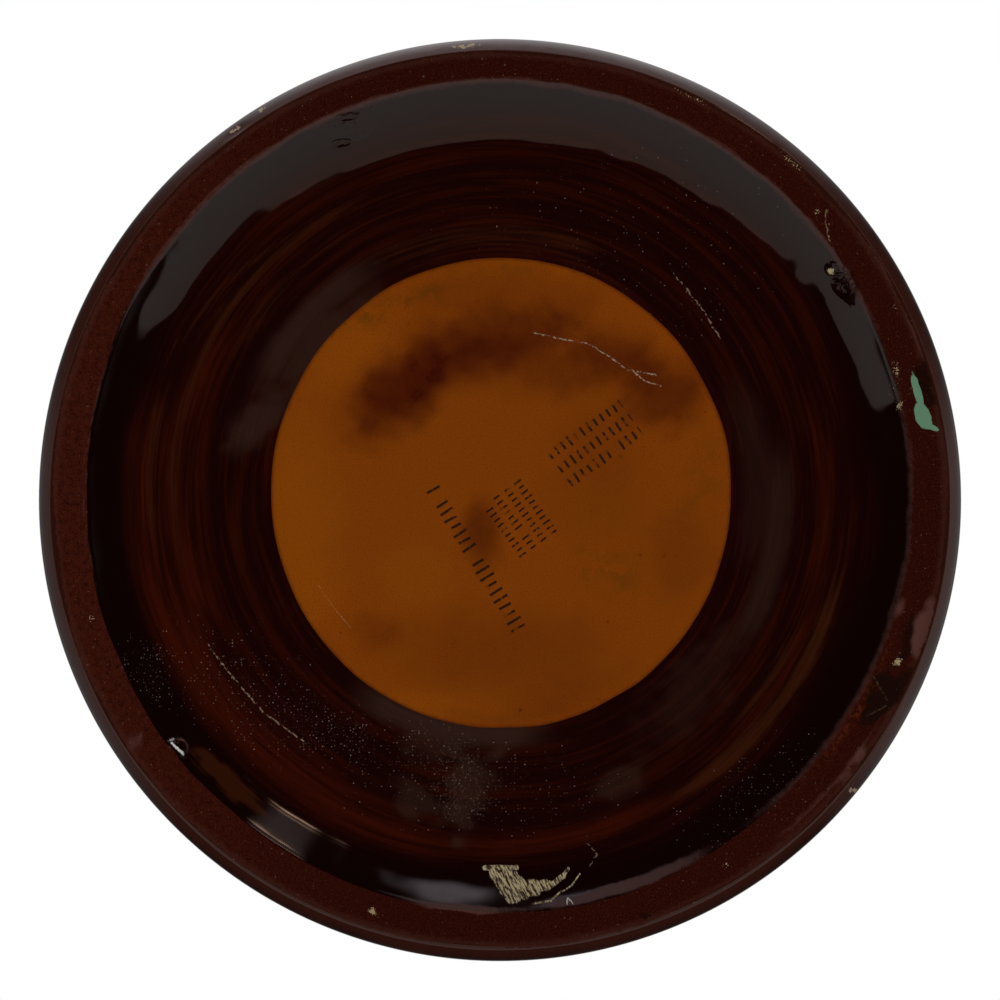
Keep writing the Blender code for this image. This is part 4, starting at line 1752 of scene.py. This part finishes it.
@dataclass
class Studio:
    """Pale floor, the camera under the foot, soft lamps, and panels fitted to the photograph's reflections.

    The outlines of the broad panel are pairs of a direction round the flask and an angle from straight
    down, both in degrees. They are rounded readings of where the pale band begins and ends in the
    photograph, taken about every six degrees by a scratch script, and shifted here and there by eye.
    """

    lens: float = 306.0
    sensor: float = 36.0
    floor_drop: float = 0.3 * MM
    floor_radius: float = 3.0
    hole_radius: float = 49.0 * MM
    hole_edge: float = 6.0 * MM
    under_power: float = 9.0
    under_size: float = 1.2
    under_distance: float = 0.8
    soft_white: tuple[float, float, float] = (1.0, 0.985, 0.97)
    back_turn: Point = (0.996, 0.087)
    panel_strength: float = 0.46
    window_strength: float = 1.5
    card_strength: float = 1.25
    edge_card_strength: float = 1.7
    lamp_strength: float = 8.0
    between_strength: float = 0.45
    right_strip_strength: float = 0.42
    left_strip_strength: float = 0.3
    ceiling_strength: float = 0.9
    panel_near: tuple[Point, ...] = (
        (-80.0, 66.0),
        (-73.0, 59.5),
        (-67.0, 48.5),
        (-61.0, 45.0),
        (-55.0, 47.0),
        (-50.0, 49.0),
        (-44.0, 31.0),
        (-37.0, 27.0),
        (-31.0, 18.5),
        (-25.0, 17.0),
        (0.0, 16.5),
        (12.0, 18.5),
        (20.0, 24.0),
        (29.0, 28.5),
        (35.0, 33.5),
        (41.0, 37.0),
        (47.0, 42.5),
        (51.0, 55.0),
        (54.0, 57.5),
        (59.0, 55.5),
        (65.0, 57.0),
        (71.0, 62.0),
        (75.0, 72.0),
        (80.0, 76.0),
    )
    panel_far: tuple[Point, ...] = (
        (-80.0, 66.0),
        (-74.0, 70.0),
        (-70.5, 75.0),
        (-65.0, 78.0),
        (-59.0, 77.5),
        (-56.0, 86.0),
        (-52.0, 95.0),
        (-28.0, 92.0),
        (20.0, 92.0),
        (44.0, 95.0),
        (54.0, 95.0),
        (60.0, 87.0),
        (65.0, 82.5),
        (71.0, 82.0),
        (74.0, 74.0),
        (80.0, 72.0),
    )

    def camera(self) -> None:
        """Looks straight up at the foot, the photograph's top towards -Y."""
        data = bpy.data.cameras.new("under_camera")
        data.lens = self.lens
        data.sensor_width = self.sensor
        camera = bpy.data.objects.new("under_camera", data)
        camera.location = (0.0, 0.0, -CAMERA_DISTANCE)
        camera.rotation_euler = (math.pi, 0.0, 0.0)
        bpy.context.scene.collection.objects.link(camera)
        bpy.context.scene.camera = camera

    def floor(self) -> None:
        """A pale floor that the camera sees through from below and that is open under the foot."""
        bpy.ops.object.select_all(action="DESELECT")
        bpy.ops.mesh.primitive_circle_add(
            vertices=96, radius=self.floor_radius, fill_type="NGON", location=(0, 0, -self.floor_drop)
        )
        floor = bpy.context.object
        floor.name = "floor"
        bpy.ops.object.transform_apply(location=True)
        material = bpy.data.materials.new("pale_floor")
        material.use_nodes = True
        material.node_tree.nodes.clear()
        bench = Bench(material.node_tree)
        where = bench.node("ShaderNodeTexCoord").outputs["Object"]
        radius = bench.measure("LENGTH", bench.vector("MULTIPLY", where, (1.0, 1.0, 0.0)))
        grain = bench.noise(where, 35.0, 3.0)
        colour = bench.mix(bench.rise(grain, 0.3, 0.7), (0.74, 0.73, 0.715, 1.0), (0.78, 0.77, 0.755, 1.0))
        path = bench.node("ShaderNodeLightPath")
        camera_ray = Tone(bench, path.outputs["Is Camera Ray"])
        back = bench.tone("ShaderNodeNewGeometry", {}, {}, "Backfacing")
        open_hole = bench.fall(radius, self.hole_radius, self.hole_radius + self.hole_edge)
        see_through = camera_ray * back + (1 - camera_ray) * open_hole
        diffuse = bench.node("ShaderNodeBsdfDiffuse", {}, {"Color": colour})
        clear = bench.node("ShaderNodeBsdfTransparent")
        mixed = bench.node(
            "ShaderNodeMixShader", {}, {0: see_through, 1: diffuse.outputs[0], 2: clear.outputs[0]}
        )
        output = bench.node("ShaderNodeOutputMaterial")
        bench.feed(output.inputs["Surface"], mixed.outputs[0])
        floor.data.materials.append(material)

    def area_light(self, name: str, place: tuple, aim: tuple, size: float, power: float) -> None:
        """Adds one soft area light that the camera and reflections don't show.

        Args:
            name: The light's name.
            place: Where it is.
            aim: What it points at.
            size: The disc's diameter.
            power: Watts.
        """
        data = bpy.data.lights.new(name, "AREA")
        data.shape = "DISK"
        data.size = size
        data.energy = power
        light = bpy.data.objects.new(name, data)
        light.location = place
        way = Vector(aim) - Vector(place)
        light.rotation_euler = way.to_track_quat("-Z", "Y").to_euler()
        light.visible_camera = False
        light.visible_glossy = False
        bpy.context.scene.collection.objects.link(light)

    def panels(self, bench: Bench, nadir: Tone, side: Tone, from_front: Tone) -> bpy.types.NodeSocket:
        """The light that reflections show: panels with their own shapes, tints and strengths.

        Args:
            bench: Adds the nodes.
            nadir: Degrees from straight down.
            side: Degrees round the flask from its +Y side, turned five degrees.
            from_front: Degrees round it from its -Y side.

        Returns:
            The light's colour.
        """
        front = abs(from_front)
        # Broad panel below the horizon on the +Y side, seen in the far half of the cove
        near_edge = bench.curve(side, (-80.0, 80.0), 100.0, self.panel_near)
        far_edge = bench.curve(side, (-80.0, 80.0), 110.0, self.panel_far)
        panel = bench.rise(nadir, near_edge, near_edge + 1.4) * bench.fall(nadir, far_edge - 3.0, far_edge)
        panel = panel * bench.fall(abs(side), 71.0, 75.0)
        panel_tint = bench.mix(bench.rise(nadir, 20.0, 80.0), (1.0, 0.70, 0.55, 1.0), (0.98, 0.86, 0.83, 1.0))
        # Bright window above the horizon on the -Y side, seen along the heel
        window = bench.fall(front, 10.0, 58.0) * bench.rise(nadir, 86.0, 112.0)
        window = window * (1 - bench.rise(nadir, 122.0, 156.0) * 0.72)
        # Two low cards and narrow strip lamps on the -Y side, seen in the near half of the cove
        card = bench.fall(abs(from_front - 8.0), 1.0, 11.0) * bench.fall(abs(nadir - 73.0), 1.0, 10.0)
        edge_card = bench.rise(from_front, -27.0, -15.0) * bench.fall(from_front, -11.0, -2.0)
        edge_card = edge_card * bench.fall(abs(nadir - 83.0), 1.5, 5.5)
        lamps = bench.fall(abs(nadir - 56.5), 0.5, 1.3) + bench.fall(abs(nadir - 83.0), 0.5, 1.3)
        lamps = lamps + bench.fall(abs(nadir - 60.5), 0.2, 0.9) * 0.5
        beside = bench.rise(from_front, 27.0, 32.0) * bench.fall(from_front, 35.0, 40.0)
        lamps = lamps * beside
        between = bench.rise(nadir, 56.0, 60.0) * bench.fall(nadir, 81.0, 84.0) * beside
        # Two softer strips on the +X and -X sides, a pale ceiling, and a faint haze all round
        right_strip = bench.fall(abs(from_front - 102.0), 14.0, 36.0) * bench.rise(nadir, 78.0, 100.0)
        left_strip = bench.fall(abs(from_front + 102.0), 14.0, 36.0) * bench.rise(nadir, 84.0, 104.0)
        strips = right_strip * self.right_strip_strength + left_strip * self.left_strip_strength
        strips = strips * bench.fall(nadir, 128.0, 146.0)
        ceiling = bench.rise(nadir, 140.0, 165.0) * self.ceiling_strength
        haze = bench.rise(nadir, 92.0, 150.0) * 0.14 * (0.35 + bench.fall(front, 40.0, 150.0)) + 0.006
        light = bench.scaled(self.soft_white, strips + ceiling + haze)
        for amount, tint in (
            (panel * self.panel_strength, panel_tint),
            (window * self.window_strength, (1.0, 0.93, 0.95)),
            (card * self.card_strength, (0.98, 0.84, 0.93)),
            (edge_card * self.edge_card_strength, (0.95, 0.85, 1.0)),
            (lamps * self.lamp_strength, (1.0, 0.60, 0.40)),
            (between * self.between_strength, (1.0, 0.74, 0.70)),
        ):
            light = bench.vector("ADD", light, bench.scaled(tint, amount))
        return light

    def world(self) -> None:
        """White for the camera, a plain dome for diffuse rays, and the panels for all other rays."""
        world = bpy.data.worlds.new("studio")
        world.use_nodes = True
        world.node_tree.nodes.clear()
        bpy.context.scene.world = world
        bench = Bench(world.node_tree)
        where = bench.node("ShaderNodeTexCoord").outputs["Generated"]
        parts = bench.node("ShaderNodeSeparateXYZ", {}, {0: where})
        x, y, z = (Tone(bench, parts.outputs[axis]) for axis in (0, 1, 2))
        degree = 180 / math.pi
        cosine, sine = self.back_turn
        nadir = bench.math("ARCCOSINE", z * -1.0) * degree
        side = bench.math("ARCTAN2", y * sine + x * cosine, y * cosine - x * sine) * -degree
        from_front = bench.math("ARCTAN2", x, y * -1.0) * degree
        light = self.panels(bench, nadir, side, from_front)
        low_to_high = bench.rise(nadir, 80.0, 110.0) * 0.75 + 0.15
        above = low_to_high * (0.55 + bench.fall(abs(from_front), 20.0, 120.0) * 0.75)
        path = bench.node("ShaderNodeLightPath")
        shader = bench.node("ShaderNodeBackground", {}, {"Color": light, "Strength": 1.0})
        for ray, colour in (
            ("Is Diffuse Ray", bench.scaled(self.soft_white, above)),
            ("Is Camera Ray", (1.0, 1.0, 1.0, 1.0)),
        ):
            background = bench.node("ShaderNodeBackground", {}, {"Color": colour, "Strength": 1.0})
            inputs = {0: path.outputs[ray], 1: shader.outputs[0], 2: background.outputs[0]}
            shader = bench.node("ShaderNodeMixShader", {}, inputs)
        output = bench.node("ShaderNodeOutputWorld")
        bench.feed(output.inputs["Surface"], shader.outputs[0])

    def build(self) -> None:
        """Sets up the camera, floor, lights and world."""
        self.camera()
        self.floor()
        below = (0.0, 0.0, -self.under_distance)
        middle = (0, 0, 0.09)
        self.area_light("under_light", below, (0, 0, 0), self.under_size, self.under_power)
        self.area_light("key_light", (-0.7, -1.1, 1.2), middle, size=0.9, power=22.0)
        self.area_light("fill_light", (1.2, 0.7, 0.9), middle, size=1.0, power=9.0)
        self.world()
        bpy.context.scene.view_settings.view_transform = "Standard"


def main() -> None:
    """Builds the studio and the flask."""
    logging.basicConfig(level=logging.INFO, format="%(name)s: %(message)s")
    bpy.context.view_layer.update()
    Studio().build()
    LOG.info("studio ready")
    flask = Flask().build(StrapHandle())
    faces = sum(len(polygon.vertices) - 2 for polygon in flask.data.polygons)
    LOG.info("%s: %d triangles", flask.name, faces)


if __name__ == "__main__":
    main()
